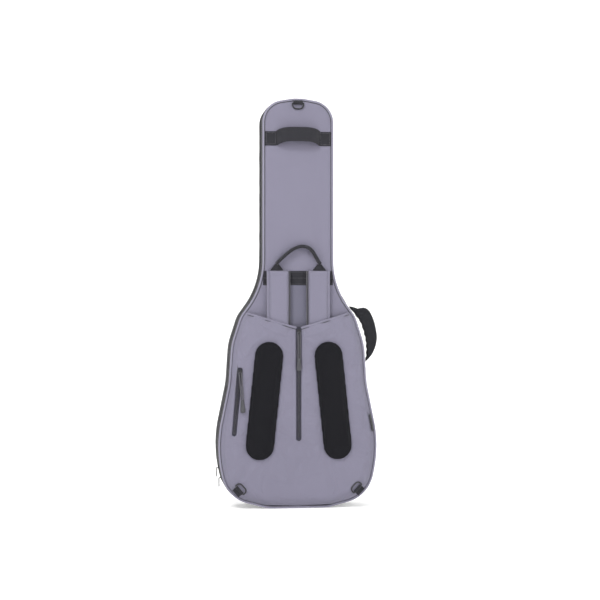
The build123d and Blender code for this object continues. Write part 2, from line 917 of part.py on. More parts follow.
single_parts = {
    "rear_panel": rear_panel,
    "rear_lining": rear_lining,
    "rear_gusset": rear_gusset,
    "rear_piping": rear_piping,
    "main_zip_tape_rear": main_zip_tape_rear,
    "main_zip_tape_front": main_zip_tape_front,
    "spine_hinge": spine_hinge,
    "front_panel": front_panel,
    "front_lining": front_lining,
    "front_gusset": front_gusset,
    "front_piping": front_piping,
    "main_slider_upper": main_slider_upper,
    "main_slider_lower": main_slider_lower,
    "main_pull_upper": main_pull_upper,
    "main_pull_lower": main_pull_lower,
    "strap_pocket_panel": strap_pocket_panel,
    "centre_zip_tape": centre_zip_tape,
    "centre_zip_slider": centre_zip_slider,
    "centre_zip_pull": centre_zip_pull,
    "side_zip_tape": side_zip_tape,
    "side_zip_slider": side_zip_slider,
    "side_zip_pull": side_zip_pull,
    "side_pocket_liner": side_pocket_liner,
    "strap_anchor_band": strap_anchor_band,
    "neck_handle": neck_handle,
    "haul_loop": haul_loop,
    "haul_feet": haul_feet,
    "top_ring_tab": top_ring_tab,
    "top_d_ring": top_d_ring,
    "side_handle": side_handle,
    "side_handle_anchors": side_handle_anchors,
    "seam_label": seam_label,
    "neck_cradle": neck_cradle,
    "neck_strap": neck_strap,
    "end_pin_block": end_pin_block,
    "front_pocket": front_pocket,
    "front_zip_tape": front_zip_tape,
    "front_zip_slider": front_zip_slider,
    "front_zip_pull": front_zip_pull,
}

paired_parts = {
    "back_pad": back_pad,
    "strap_pad": strap_pad,
    "ladder_lock": ladder_lock,
    "strap_tail": strap_tail,
    "snap_hook": snap_hook,
    "lower_ring_tab": lower_ring_tab,
    "lower_d_ring": lower_d_ring,
}

for name, make in single_parts.items():
    write(name, make())
for name, make in paired_parts.items():
    write(name + "_left", make(-1))
    write(name + "_right", make(1))
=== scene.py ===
import math

import bmesh
import bpy
import numpy as np
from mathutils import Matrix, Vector


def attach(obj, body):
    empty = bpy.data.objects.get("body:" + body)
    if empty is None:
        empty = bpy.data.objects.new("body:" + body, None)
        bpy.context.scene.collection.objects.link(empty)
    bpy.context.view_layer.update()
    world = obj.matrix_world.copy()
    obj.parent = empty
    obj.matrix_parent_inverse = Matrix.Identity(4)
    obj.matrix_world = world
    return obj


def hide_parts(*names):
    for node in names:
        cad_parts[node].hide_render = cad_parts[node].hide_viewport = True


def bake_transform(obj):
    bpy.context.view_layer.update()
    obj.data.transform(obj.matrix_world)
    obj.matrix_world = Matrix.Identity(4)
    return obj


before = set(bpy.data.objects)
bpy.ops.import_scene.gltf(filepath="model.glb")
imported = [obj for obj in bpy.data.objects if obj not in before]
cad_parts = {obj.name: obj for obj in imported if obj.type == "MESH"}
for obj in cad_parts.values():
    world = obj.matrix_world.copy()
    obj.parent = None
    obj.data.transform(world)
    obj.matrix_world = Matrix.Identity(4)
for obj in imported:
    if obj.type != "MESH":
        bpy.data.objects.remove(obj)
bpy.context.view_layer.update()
mm = 0.001
fullTurn = 6.28318

print("stage: shapes shared by the pieces")

# The bag's outline, right half from the base up: x, z and corner arc, in millimetres.
bagShape = {
    "corners": [
        (80, 0, 115), (191, 29, 95), (219, 166, 328), (185, 330, 190), (178, 436, 175),
        (154, 510, 80), (95, 592, 206), (95, 1076, 59), (13, 1090, 89),
    ],
    "length": 1090.0,
    "rearY": -58.0,
    "bodyFrontY": 62.0,
    "neckFrontY": 30.0,
    "taper": (540.0, 700.0),
    "spine": (95.0, 245.0),
}


def denseOutline():
    right = bagShape["corners"]
    corners = right + [(-x, z, r) for x, z, r in reversed(right)]
    points = [(0.0, 0.0)]
    for i, (x, z, r) in enumerate(corners):
        here = Vector((x, z))
        before = Vector(corners[i - 1][:2])
        after = Vector(corners[(i + 1) % len(corners)][:2])
        back, ahead = (before - here).normalized(), (after - here).normalized()
        half = back.angle(ahead) / 2
        tangent = r / math.tan(half)
        centre = here + (back + ahead).normalized() * (r / math.sin(half))
        start, end = here + back * tangent, here + ahead * tangent
        a0 = math.atan2(start.y - centre.y, start.x - centre.x)
        a1 = math.atan2(end.y - centre.y, end.x - centre.x)
        turn = (a1 - a0 + math.pi) % (2 * math.pi) - math.pi
        steps = max(4, int(abs(turn) * r / 2.0))
        for k in range(steps + 1):
            a = a0 + turn * k / steps
            points.append((centre.x + r * math.cos(a), centre.y + r * math.sin(a)))
    points.append((0.0, 0.0))
    points = np.array(points)
    length = np.r_[0, np.cumsum(np.hypot(*np.diff(points, axis=0).T))]
    keep = np.r_[True, np.diff(length) > 1e-6]
    points, length = points[keep], length[keep]
    even = np.linspace(0, length[-1], 2601)
    return np.c_[np.interp(even, length, points[:, 0]), np.interp(even, length, points[:, 1])], even


outlinePoints, outlineLength = denseOutline()
tangents = np.roll(outlinePoints[:-1], -1, 0) - np.roll(outlinePoints[:-1], 1, 0)
tangents = np.vstack([tangents, tangents[:1]])
tangents /= np.hypot(*tangents.T)[:, None]
outlineNormals = np.c_[tangents[:, 1], -tangents[:, 0]]


def outlineAt(inset, count, start=0.0, stop=1.0):
    share = np.linspace(start, stop, count) % 1.0
    s = share * outlineLength[-1]
    at = [np.interp(s, outlineLength, column) for column in (*outlinePoints.T, *outlineNormals.T)]
    return np.c_[at[0] - inset * at[2], at[1] - inset * at[3]], np.c_[at[2], at[3]]


def halfWidth(z, inset=0.0):
    points, _ = outlineAt(inset, 3001)
    right = points[:1501]
    rise = np.maximum.accumulate(right[:, 1]) + np.arange(len(right)) * 1e-5
    return np.interp(z, rise, right[:, 0])


def edgeDistance(x, z):
    flat = np.c_[np.ravel(x), np.ravel(z)]
    rim = outlinePoints[::3]
    near = np.full(len(flat), 1e9)
    for i in range(0, len(flat), 4000):
        part = flat[i:i + 4000]
        gaps = (part[:, None, 0] - rim[None, :, 0]) ** 2 + (part[:, None, 1] - rim[None, :, 1]) ** 2
        near[i:i + 4000] = np.sqrt(gaps.min(1))
    return near.reshape(np.shape(x))


def lidY(z):
    low, high = bagShape["taper"]
    t = np.clip((np.asarray(z, float) - low + 25) / (high - low + 50), 0, 1)
    t = t * t * (3 - 2 * t)
    return bagShape["bodyFrontY"] + (bagShape["neckFrontY"] - bagShape["bodyFrontY"]) * t


def bumps(x, z, size, seed):
    # slow unevenness of hand-sewn cloth, a sum of a few slanted waves
    draw = np.random.default_rng(seed)
    total = np.zeros(np.shape(x))
    for _ in range(7):
        angle, phase, scale = draw.uniform(0, math.pi), draw.uniform(0, 6.3), draw.uniform(0.6, 1.7)
        total += np.sin((x * math.cos(angle) + z * math.sin(angle)) * 6.283 / (size * scale) + phase)
    return total / 4.0


def wrinkles(x, z, creases):
    total = np.zeros(np.shape(x))
    for cx, cz, angle, length, width, height in creases:
        a = math.radians(angle)
        along = (x - cx) * math.cos(a) + (z - cz) * math.sin(a)
        bow = 0.12 * length * (along / length) ** 2
        across = -(x - cx) * math.sin(a) + (z - cz) * math.cos(a) - bow
        total += height * np.exp(-(across / width) ** 2 - (along / (0.5 * length)) ** 2)
    return total


def addMesh(name, points, faces, sharp=35):
    data = bpy.data.meshes.new(name)
    data.from_pydata((np.asarray(points, float) * mm).tolist(), [], faces)
    obj = bpy.data.objects.new(name, data)
    bpy.context.scene.collection.objects.link(obj)
    return tidyMesh(obj, sharp)


def tidyMesh(obj, sharp=35):
    shell = bmesh.new()
    shell.from_mesh(obj.data)
    bmesh.ops.remove_doubles(shell, verts=shell.verts, dist=1e-6)
    bmesh.ops.recalc_face_normals(shell, faces=shell.faces)
    shell.to_mesh(obj.data)
    shell.free()
    selectOnly(obj)
    bpy.ops.object.shade_smooth_by_angle(angle=math.radians(sharp))
    return obj


def selectOnly(obj):
    for other in list(bpy.context.selected_objects):
        other.select_set(False)
    obj.select_set(True)
    bpy.context.view_layer.objects.active = obj


def applyModifiers(obj):
    selectOnly(obj)
    for name in [m.name for m in obj.modifiers]:
        bpy.ops.object.modifier_apply(modifier=name)
    return obj


def gridFaces(rows, cols, wrapRows=False, wrapCols=False, start=0):
    faces = []
    for i in range(rows if wrapRows else rows - 1):
        for j in range(cols if wrapCols else cols - 1):
            a, b = start + i * cols + j, start + i * cols + (j + 1) % cols
            c, d = start + ((i + 1) % rows) * cols + (j + 1) % cols, start + ((i + 1) % rows) * cols + j
            faces.append((a, b, c, d))
    return faces


def finishPiece(obj, body, slot, material, *nodes):
    obj.data.materials.clear()
    obj.data.materials.append(materials[material])
    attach(obj, body)
    if nodes:
        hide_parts(*nodes)
    return obj


def roundedSection(width, thick, radius, steps=3):
    points = []
    radius = min(radius, width / 2 - 0.01, thick / 2 - 0.01)
    for cx, cy, a0 in ((1, 1, 0), (-1, 1, 90), (-1, -1, 180), (1, -1, 270)):
        for k in range(steps + 1):
            a = math.radians(a0 + 90 * k / steps)
            points.append((cx * (width / 2 - radius) + radius * math.cos(a),
                           cy * (thick / 2 - radius) + radius * math.sin(a)))
    return points


def roundSection(radius, steps=10):
    turns = [fullTurn * k / steps for k in range(steps)]
    return [(radius * math.cos(a), radius * math.sin(a)) for a in turns]


def sweep(name, path, section, up, closed=False, scales=None, sharp=40):
    # a section's first coordinate runs along up, its second across the path
    path = np.asarray(path, float)
    if closed:
        ahead, behind = np.roll(path, -1, 0), np.roll(path, 1, 0)
    else:
        ahead, behind = np.vstack([path[1:], path[-1:]]), np.vstack([path[:1], path[:-1]])
    along = ahead - behind
    along /= np.linalg.norm(along, axis=1)[:, None]
    up = np.tile(np.asarray(up, float), (len(path), 1)) if np.ndim(up) == 1 else np.asarray(up, float)
    across = np.cross(up, along)
    across /= np.linalg.norm(across, axis=1)[:, None]
    up = np.cross(along, across)
    scales = np.ones((len(path), 2)) if scales is None else np.asarray(scales, float).reshape(len(path), -1)
    if scales.shape[1] == 1:
        scales = np.repeat(scales, 2, 1)
    points = []
    for p, u, c, s in zip(path, up, across, scales):
        points += [p + u * a * s[0] + c * b * s[1] for a, b in section]
    n = len(section)
    faces = gridFaces(len(path), n, wrapRows=closed, wrapCols=True)
    if not closed:
        faces += [tuple(range(n)), tuple(range(len(points) - n, len(points)))]
    return addMesh(name, points, faces, sharp)


def smoothPath(points, count, rounds=3):
    # corners cut by repeated chopping, then spaced evenly
    path = np.asarray(points, float)
    for _ in range(rounds):
        cut = np.empty((2 * len(path) - 2, path.shape[1]))
        cut[0::2] = path[:-1] * 0.75 + path[1:] * 0.25
        cut[1::2] = path[:-1] * 0.25 + path[1:] * 0.75
        path = np.vstack([path[:1], cut, path[-1:]])
    length = np.r_[0, np.cumsum(np.linalg.norm(np.diff(path, axis=0), axis=1))]
    even = np.linspace(0, length[-1], count)
    return np.c_[tuple(np.interp(even, length, path[:, k]) for k in range(path.shape[1]))]


def spacedAlong(path, spacing, closed=False):
    path = np.asarray(path, float)
    if closed:
        path = np.vstack([path, path[:1]])
    length = np.r_[0, np.cumsum(np.linalg.norm(np.diff(path, axis=0), axis=1))]
    even = np.arange(spacing / 2, length[-1], spacing)
    at = np.c_[tuple(np.interp(even, length, path[:, k]) for k in range(3))]
    ahead = np.c_[tuple(np.interp(np.minimum(even + 0.5, length[-1]), length, path[:, k]) for k in range(3))]
    behind = np.c_[tuple(np.interp(even - 0.5, length, path[:, k]) for k in range(3))]
    way = ahead - behind
    return at, way / np.linalg.norm(way, axis=1)[:, None]


def repeatAlong(name, base, baseFaces, at, way, out, sharp=60):
    # copies of a small shape: its x runs along the row, its z stands out from the cloth
    base = np.asarray(base, float)
    out = np.tile(np.asarray(out, float), (len(at), 1)) if np.ndim(out) == 1 else np.asarray(out, float)
    points, faces = [], []
    for p, t, o in zip(at, way, out):
        side = np.cross(o, t)
        side /= np.linalg.norm(side)
        lift = np.cross(t, side)
        start = len(points)
        points += list(p + base[:, :1] * t + base[:, 1:2] * side + base[:, 2:] * lift)
        faces += [tuple(start + k for k in f) for f in baseFaces]
    return addMesh(name, points, faces, sharp)


def capsule(length, width, height, sides=6):
    rings = [(-0.5, 0.35), (-0.3, 1.0), (0.3, 1.0), (0.5, 0.35)]
    points = []
    for along, size in rings:
        for k in range(sides):
            a = fullTurn * k / sides
            points.append((along * length, size * width / 2 * math.cos(a), size * height / 2 * math.sin(a)))
    faces = gridFaces(len(rings), sides, wrapCols=True)
    return points, faces + [tuple(range(sides)), tuple(range(3 * sides, 4 * sides))]


stitchShape = {"length": 2.7, "pitch": 4.0, "width": 0.9, "height": 0.8}


def stitchRow(name, path, out, body, material="thread", slot="webbing", closed=False, pitch=None):
    base, faces = capsule(stitchShape["length"], stitchShape["width"], stitchShape["height"])
    at, way = spacedAlong(path, pitch or stitchShape["pitch"], closed)
    return finishPiece(repeatAlong(name, base, faces, at, way, out), body, slot, material)


def ringSweep(name, inset, sections, count, start=0.0, stop=1.0, closed=True, ripple=0.0, seed=1):
    # sections(z) gives the y values that go with the insets, for every point of the outline
    outline, normals = outlineAt(0.0, count + 1 if closed else count, start, stop)
    if closed:
        outline, normals = outline[:-1], normals[:-1]
    ys = sections(outline[:, 1])
    s = np.linspace(0, 1, len(outline), endpoint=not closed)
    draw = np.random.default_rng(seed)
    wave = sum(np.sin(fullTurn * s * k + draw.uniform(0, 6.3)) for k in (23, 37, 51, 74)) / 4
    points = []
    for i, (p, n) in enumerate(zip(outline, normals)):
        for k, (d, y) in enumerate(zip(inset, ys)):
            push = ripple * wave[i] * (1.0 if d < 2.0 else 0.0)
            points.append((p[0] - n[0] * (d - push), y[i] if np.ndim(y) else y, p[1] - n[1] * (d - push)))
    m = len(inset)
    faces = gridFaces(len(outline), m, wrapRows=closed, wrapCols=True)
    if not closed:
        faces += [tuple(range(m)), tuple(range(len(points) - m, len(points)))]
    return addMesh(name, points, faces, 40)


def outlineSheet(name, inset, rows, cols, outer, inner):
    # a closed sheet that fills the outline, with an outer and an inner skin
    v = np.linspace(0, 1, rows)
    v = 0.55 * v + 0.45 * (0.5 - 0.5 * np.cos(math.pi * v))
    zRows = inset + (bagShape["length"] - 2 * inset) * v
    u = np.linspace(-1, 1, cols)
    u = 0.6 * u + 0.4 * np.sin(u * math.pi / 2)
    wide = halfWidth(zRows, inset)
    x = wide[:, None] * u[None, :]
    z = np.repeat(zRows[:, None], cols, 1)
    d = edgeDistance(x, z) - inset
    return twoSkins(name, x, z, outer(x, z, d), inner(x, z, d))


def twoSkins(name, x, z, yOuter, yInner):
    rows, cols = x.shape
    outer = np.c_[x.ravel(), yOuter.ravel(), z.ravel()]
    inner = np.c_[x.ravel(), yInner.ravel(), z.ravel()]
    total = rows * cols
    faces = gridFaces(rows, cols)
    faces += [tuple(reversed(f)) for f in gridFaces(rows, cols, start=total)]
    rim = [j for j in range(cols)] + [i * cols + cols - 1 for i in range(1, rows)]
    rim += [(rows - 1) * cols + j for j in range(cols - 2, -1, -1)]
    rim += [i * cols for i in range(rows - 2, 0, -1)]
    for a, b in zip(rim, rim[1:] + rim[:1]):
        faces.append((a, a + total, b + total, b))
    return addMesh(name, np.vstack([outer, inner]), faces, 50)


def inflate(obj, pressure, cap, held, frames=20, grow=0.0, stiff=12.0):
    # cloth simulation with pressure and no gravity; held(points) marks what is sewn down
    points = np.array([v.co for v in obj.data.vertices]) / mm
    pins = obj.vertex_groups.new(name="sewn")
    holds = held(points)
    for weight in (0.5, 1.0):
        pins.add(np.flatnonzero(np.isclose(holds, weight)).tolist(), weight, "REPLACE")
    cloth = obj.modifiers.new("Cloth", "CLOTH")
    cloth.settings.quality = 5
    cloth.settings.mass = 0.3
    cloth.settings.tension_stiffness = stiff
    cloth.settings.compression_stiffness = stiff
    cloth.settings.bending_stiffness = 0.4
    cloth.settings.use_pressure = True
    cloth.settings.uniform_pressure_force = pressure
    cloth.settings.shrink_min = -grow
    cloth.settings.vertex_group_mass = "sewn"
    cloth.settings.effector_weights.gravity = 0.0
    cloth.collision_settings.use_self_collision = False
    cloth.point_cache.frame_start = 1
    cloth.point_cache.frame_end = frames
    for step in range(1, frames + 1):
        bpy.context.scene.frame_set(step)
    shape = obj.evaluated_get(bpy.context.evaluated_depsgraph_get())
    moved = np.array([v.co for v in shape.data.vertices]) / mm
    shift = moved - points
    far = np.linalg.norm(shift, axis=1)
    shift *= (np.minimum(far, cap) / np.maximum(far, 1e-9))[:, None]
    obj.modifiers.remove(cloth)
    obj.vertex_groups.remove(pins)
    obj.data.vertices.foreach_set("co", ((points + shift) * mm).ravel())
    obj.data.update()
    bpy.context.scene.frame_set(1)
    print("  simulated", obj.name, "moved up to", round(float(min(far.max(), cap)), 2), "mm")
    return obj


def softCopy(node, name, voxel, rounds=6, factor=0.5):
    # the node's own form as one smooth closed cloth surface
    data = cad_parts[node].data.copy()
    obj = bpy.data.objects.new(name, data)
    bpy.context.scene.collection.objects.link(obj)
    tidyMesh(obj)
    remesh = obj.modifiers.new("Remesh", "REMESH")
    remesh.mode = "VOXEL"
    remesh.voxel_size = voxel * mm
    smooth = obj.modifiers.new("Smooth", "SMOOTH")
    smooth.iterations = rounds
    smooth.factor = factor
    applyModifiers(obj)
    return tidyMesh(obj, 60)


def moveVerts(obj, move):
    points = np.array([v.co for v in obj.data.vertices]) / mm
    normals = np.array([v.normal for v in obj.data.vertices])
    obj.data.vertices.foreach_set("co", (move(points, normals) * mm).ravel())
    obj.data.update()
    return obj


def subdivide(obj, levels=1):
    mod = obj.modifiers.new("Subdivision", "SUBSURF")
    mod.levels = mod.render_levels = levels
    return applyModifiers(obj)


print("stage: materials")

materials = {}


def newGroup(name, inputs, outputs):
    group = bpy.data.node_groups.new(name, "ShaderNodeTree")
    for label, kind, value in inputs:
        socket = group.interface.new_socket(label, in_out="INPUT", socket_type=kind)
        if value is not None:
            socket.default_value = value
    for label, kind in outputs:
        group.interface.new_socket(label, in_out="OUTPUT", socket_type=kind)
    return group, group.nodes.new("NodeGroupInput"), group.nodes.new("NodeGroupOutput")


def mathNode(tree, operation, a, b=None, clamp=False):
    node = tree.nodes.new("ShaderNodeMath")
    node.operation = operation
    node.use_clamp = clamp
    for socket, value in zip(node.inputs, (a, b)):
        if value is None:
            continue
        if isinstance(value, (int, float)):
            socket.default_value = value
        else:
            tree.links.new(value, socket)
    return node.outputs[0]


def noiseNode(tree, vector, scale, detail=3.0, roughness=0.5):
    node = tree.nodes.new("ShaderNodeTexNoise")
    node.inputs["Scale"].default_value = scale
    node.inputs["Detail"].default_value = detail
    node.inputs["Roughness"].default_value = roughness
    tree.links.new(vector, node.inputs["Vector"])
    return node.outputs["Fac"]


def shadeColour(group, given, amount, put):
    tint = group.nodes.new("ShaderNodeVectorMath")
    tint.operation = "SCALE"
    group.links.new(given.outputs["Colour"], tint.inputs[0])
    group.links.new(amount, tint.inputs["Scale"])
    group.links.new(tint.outputs[0], put.inputs["Colour"])


def buildWeaveGroup():
    # crossed threads on two diagonals of the piece, with slubs and slow colour drift
    group, given, put = newGroup(
        "clothWeave",
        [("Vector", "NodeSocketVector", None), ("Threads", "NodeSocketFloat", 7500.0),
         ("Colour", "NodeSocketColor", (0.3, 0.3, 0.3, 1)), ("Drift", "NodeSocketFloat", 0.12),
         ("Slub", "NodeSocketFloat", 0.25), ("Contrast", "NodeSocketFloat", 0.35)],
        [("Colour", "NodeSocketColor"), ("Height", "NodeSocketFloat"), ("Roughness", "NodeSocketFloat")],
    )
    split = group.nodes.new("ShaderNodeSeparateXYZ")
    group.links.new(given.outputs["Vector"], split.inputs[0])
    wide = mathNode(group, "ADD", split.outputs["X"], split.outputs["Y"])
    warp = mathNode(group, "SINE", mathNode(group, "MULTIPLY", wide, given.outputs["Threads"]))
    weft = mathNode(group, "SINE", mathNode(group, "MULTIPLY", split.outputs["Z"], given.outputs["Threads"]))
    cross = mathNode(group, "MULTIPLY", warp, weft)
    threads = mathNode(group, "MULTIPLY_ADD", cross, 0.5)
    threads.node.inputs[2].default_value = 0.5
    slubs = noiseNode(group, given.outputs["Vector"], 900.0, 4.0, 0.6)
    drift = noiseNode(group, given.outputs["Vector"], 7.0, 4.0, 0.55)
    fine = mathNode(group, "MULTIPLY", mathNode(group, "SUBTRACT", threads, 0.5), given.outputs["Contrast"])
    rough = mathNode(group, "MULTIPLY", mathNode(group, "SUBTRACT", slubs, 0.5), given.outputs["Slub"])
    slow = mathNode(group, "MULTIPLY", mathNode(group, "SUBTRACT", drift, 0.5), given.outputs["Drift"])
    shade = mathNode(group, "ADD", mathNode(group, "ADD", mathNode(group, "ADD", fine, rough), slow), 1.0)
    shadeColour(group, given, shade, put)
    raised, knots = mathNode(group, "MULTIPLY", threads, 0.6), mathNode(group, "MULTIPLY", slubs, 0.4)
    height = mathNode(group, "ADD", raised, knots)
    group.links.new(height, put.inputs["Height"])
    group.links.new(mathNode(group, "MULTIPLY_ADD", slubs, 0.16), put.inputs["Roughness"])
    return group


def buildHardGroup():
    # moulded or enamelled surface: fine grain, faint scratches and lighter scuffed patches
    group, given, put = newGroup(
        "hardFinish",
        [("Vector", "NodeSocketVector", None), ("Colour", "NodeSocketColor", (0.02, 0.02, 0.02, 1)),
         ("Grain", "NodeSocketFloat", 2500.0), ("Roughness", "NodeSocketFloat", 0.4),
         ("Wear", "NodeSocketFloat", 0.3)],
        [("Colour", "NodeSocketColor"), ("Height", "NodeSocketFloat"), ("Roughness", "NodeSocketFloat")],
    )
    grain = group.nodes.new("ShaderNodeTexNoise")
    group.links.new(given.outputs["Vector"], grain.inputs["Vector"])
    group.links.new(given.outputs["Grain"], grain.inputs["Scale"])
    scuff = noiseNode(group, given.outputs["Vector"], 160.0, 6.0, 0.65)
    bright = mathNode(group, "MULTIPLY", mathNode(group, "SUBTRACT", scuff, 0.45), given.outputs["Wear"])
    shadeColour(group, given, mathNode(group, "ADD", bright, 1.0), put)
    group.links.new(grain.outputs["Fac"], put.inputs["Height"])
    rough = mathNode(group, "ADD", given.outputs["Roughness"], mathNode(group, "MULTIPLY", scuff, 0.18))
    group.links.new(rough, put.inputs["Roughness"])
    return group


weaveGroup = buildWeaveGroup()
hardGroup = buildHardGroup()


def baseMaterial(name, colour):
    material = bpy.data.materials.new(name)
    material.use_nodes = True
    material.diffuse_color = (*colour, 1)
    tree = material.node_tree
    shader = tree.nodes["Principled BSDF"]
    where = tree.nodes.new("ShaderNodeTexCoord").outputs["Object"]
    materials[name] = material
    return tree, shader, where


def bumpNormal(tree, shader, height, strength, distance):
    bump = tree.nodes.new("ShaderNodeBump")
    bump.inputs["Strength"].default_value = strength
    bump.inputs["Distance"].default_value = distance
    tree.links.new(height, bump.inputs["Height"])
    tree.links.new(bump.outputs["Normal"], shader.inputs["Normal"])


def groupNode(tree, shader, where, group, colour, values):
    node = tree.nodes.new("ShaderNodeGroup")
    node.node_tree = group
    node.inputs["Colour"].default_value = (*colour, 1)
    for socket, value in values.items():
        node.inputs[socket].default_value = value
    tree.links.new(where, node.inputs["Vector"])
    tree.links.new(node.outputs["Colour"], shader.inputs["Base Color"])
    return node


def clothMaterial(name, colour, threads, roughness=0.72, sheen=0.3, drift=0.12, slub=0.25,
                  contrast=0.35, bump=0.35):
    tree, shader, where = baseMaterial(name, colour)
    values = {"Threads": threads, "Drift": drift, "Slub": slub, "Contrast": contrast}
    weave = groupNode(tree, shader, where, weaveGroup, colour, values)
    rough = mathNode(tree, "ADD", weave.outputs["Roughness"], roughness)
    tree.links.new(rough, shader.inputs["Roughness"])
    shader.inputs["Sheen Weight"].default_value = sheen
    shader.inputs["Sheen Roughness"].default_value = 0.45
    shader.inputs["Specular IOR Level"].default_value = 0.3
    bumpNormal(tree, shader, weave.outputs["Height"], bump, 0.0004)


def hardMaterial(name, colour, roughness, metallic, grain=2500.0, wear=0.3, coat=0.0, bump=0.12):
    tree, shader, where = baseMaterial(name, colour)
    values = {"Grain": grain, "Roughness": roughness, "Wear": wear}
    finish = groupNode(tree, shader, where, hardGroup, colour, values)
    tree.links.new(finish.outputs["Roughness"], shader.inputs["Roughness"])
    shader.inputs["Metallic"].default_value = metallic
    shader.inputs["Coat Weight"].default_value = coat
    bumpNormal(tree, shader, finish.outputs["Height"], bump, 0.0002)


def meshPadMaterial(name, colour):
    # spacer mesh: rows of small round holes
    tree, shader, where = baseMaterial(name, colour)
    cells = tree.nodes.new("ShaderNodeTexVoronoi")
    cells.inputs["Scale"].default_value = 420.0
    cells.inputs["Randomness"].default_value = 0.15
    tree.links.new(where, cells.inputs["Vector"])
    weave = groupNode(tree, shader, where, weaveGroup, colour, {"Threads": 5200.0, "Slub": 0.5})
    tree.links.new(mathNode(tree, "ADD", weave.outputs["Roughness"], 0.8), shader.inputs["Roughness"])
    shader.inputs["Sheen Weight"].default_value = 0.06
    shader.inputs["Specular IOR Level"].default_value = 0.15
    bumpNormal(tree, shader, cells.outputs["Distance"], 0.5, 0.0006)


clothMaterial("greyCloth", (0.172, 0.164, 0.218), 7500.0, sheen=0.2)
clothMaterial("blackCloth", (0.014, 0.014, 0.017), 6500.0, sheen=0.1, drift=0.25)
clothMaterial("pipingCloth", (0.215, 0.206, 0.265), 6000.0, drift=0.08)
clothMaterial("darkPiping", (0.03, 0.03, 0.035), 6000.0, drift=0.08)
# a darker copy of the grey cloth: painted shade, used only for the sheet between the straps
clothMaterial("paintedShadeCloth", (0.125, 0.122, 0.163), 7500.0, sheen=0.15)
clothMaterial("webbing", (0.022, 0.0215, 0.026), 3600.0, roughness=0.6, sheen=0.1, contrast=0.7, bump=0.8)
clothMaterial("binding", (0.045, 0.044, 0.052), 5200.0, roughness=0.6, contrast=0.5)
clothMaterial("zipTape", (0.032, 0.031, 0.043), 6800.0, roughness=0.7, contrast=0.5)
clothMaterial("thread", (0.10, 0.098, 0.115), 9000.0, roughness=0.5, contrast=0.6)
clothMaterial("greyThread", (0.17, 0.163, 0.20), 9000.0, roughness=0.5, contrast=0.6)
clothMaterial("lining", (0.05, 0.05, 0.055), 2600.0, roughness=0.85, sheen=0.6, slub=0.8, bump=0.6)
clothMaterial("labelCloth", (0.013, 0.013, 0.015), 5600.0, roughness=0.45, contrast=0.4)
meshPadMaterial("padMesh", (0.0075, 0.0075, 0.0095))
hardMaterial("blackMetal", (0.016, 0.016, 0.018), 0.42, 0.2)
hardMaterial("blackPlastic", (0.02, 0.02, 0.023), 0.38, 0.0, wear=0.2)
hardMaterial("coil", (0.035, 0.034, 0.042), 0.3, 0.0, wear=0.4)
# pull cord lighter than the grip: partly the cord's own tone, partly painted sheen along the strands
clothMaterial("pullCord", (0.075, 0.073, 0.084), 5200.0, roughness=0.35, contrast=0.7, bump=0.6)
hardMaterial("pullRubber", (0.04, 0.04, 0.046), 0.38, 0.0, grain=1800.0, wear=0.2, bump=0.3)

print("stage: padded walls, piping and seams")

wallShape = {"points": 620, "ripple": 0.35}
wallInset = [8, 8, 8, 6.5, 3.5, 1.0, -0.2, -0.9, -1.2, -0.9, -0.2, 1.0, 3.5, 6.5]


def rearWallY(z):
    return [-9.5, -32, -54.5, -55, -55, -54.2, -49, -41, -32, -23, -15, -9.8, -9, -9]


def frontWallY(z):
    top = lidY(z) - 3
    mid = (top + 9) / 2
    return [9.5 + 0 * z, mid, top - 0.5, top, top, top - 0.8, top - 6, (top + mid) / 2, mid, (mid + 9) / 2,
            15 + 0 * z, 9.8 + 0 * z, 9 + 0 * z, 9 + 0 * z]


ripple = wallShape["ripple"]
rearWall = ringSweep("rearWall", wallInset, rearWallY, wallShape["points"], ripple=ripple, seed=3)
finishPiece(rearWall, "back", "black_cloth", "blackCloth", "rear_gusset")
frontWall = ringSweep("frontWall", wallInset, frontWallY, wallShape["points"], ripple=ripple, seed=5)
finishPiece(frontWall, "lid", "black_cloth", "blackCloth", "front_gusset")

pipingShape = {"radius": 2.75, "inset": 2.7, "rearY": -57.9}
pipeAngles = [fullTurn * k / 12 for k in range(12)]
pipeInset = [pipingShape["inset"] + pipingShape["radius"] * math.cos(a) for a in pipeAngles]
rearPiping = ringSweep("rearPiping", pipeInset, lambda z: [
    pipingShape["rearY"] + pipingShape["radius"] * math.sin(a) for a in pipeAngles], 900)
finishPiece(rearPiping, "back", "piping", "pipingCloth", "rear_piping")
frontPiping = ringSweep("frontPiping", pipeInset, lambda z: [
    lidY(z) + pipingShape["radius"] * math.sin(a) for a in pipeAngles], 900)
finishPiece(frontPiping, "lid", "black_cloth", "darkPiping", "front_piping")

# dark welt that shows as a line between the piping and the panel
weltInset = [5.3, 6.0, 7.0, 7.4, 7.0, 6.0]
rearWelt = ringSweep("rearWelt", weltInset, lambda z: [-57.6, -58.1, -58.1, -57.6, -56.4, -56.4], 700)
finishPiece(rearWelt, "back", "webbing", "binding")
frontWelt = ringSweep("frontWelt", weltInset, lambda z: [
    lidY(z) + y for y in (-0.4, 0.1, 0.1, -0.4, -1.6, -1.6)], 700)
finishPiece(frontWelt, "lid", "webbing", "binding")

print("stage: panels")

rearPanelShape = {
    "inset": 6.0, "crown": 1.7, "reach": 16.0, "dip": 1.1,
    "creases": [(20, 560, 8, 60, 5, 0.5), (-40, 700, 70, 120, 9, 0.5), (35, 790, 100, 140, 11, 0.5),
                (-20, 905, 15, 90, 8, 0.5), (60, 890, 80, 90, 7, 0.4), (-70, 840, 95, 110, 7, 0.4)],
}


def rearPanelY(x, z, d):
    shape = rearPanelShape
    crown = shape["crown"] * (1 - np.exp(-np.maximum(d, 0) / shape["reach"]))
    dip = shape["dip"] * np.exp(-np.maximum(d, 0) / 2.2)
    folds = wrinkles(x, z, shape["creases"]) * np.clip(d / 20, 0, 1)
    return -58 - crown + dip - folds - 0.25 * bumps(x, z, 90, 2) * np.clip(d / 30, 0, 1)


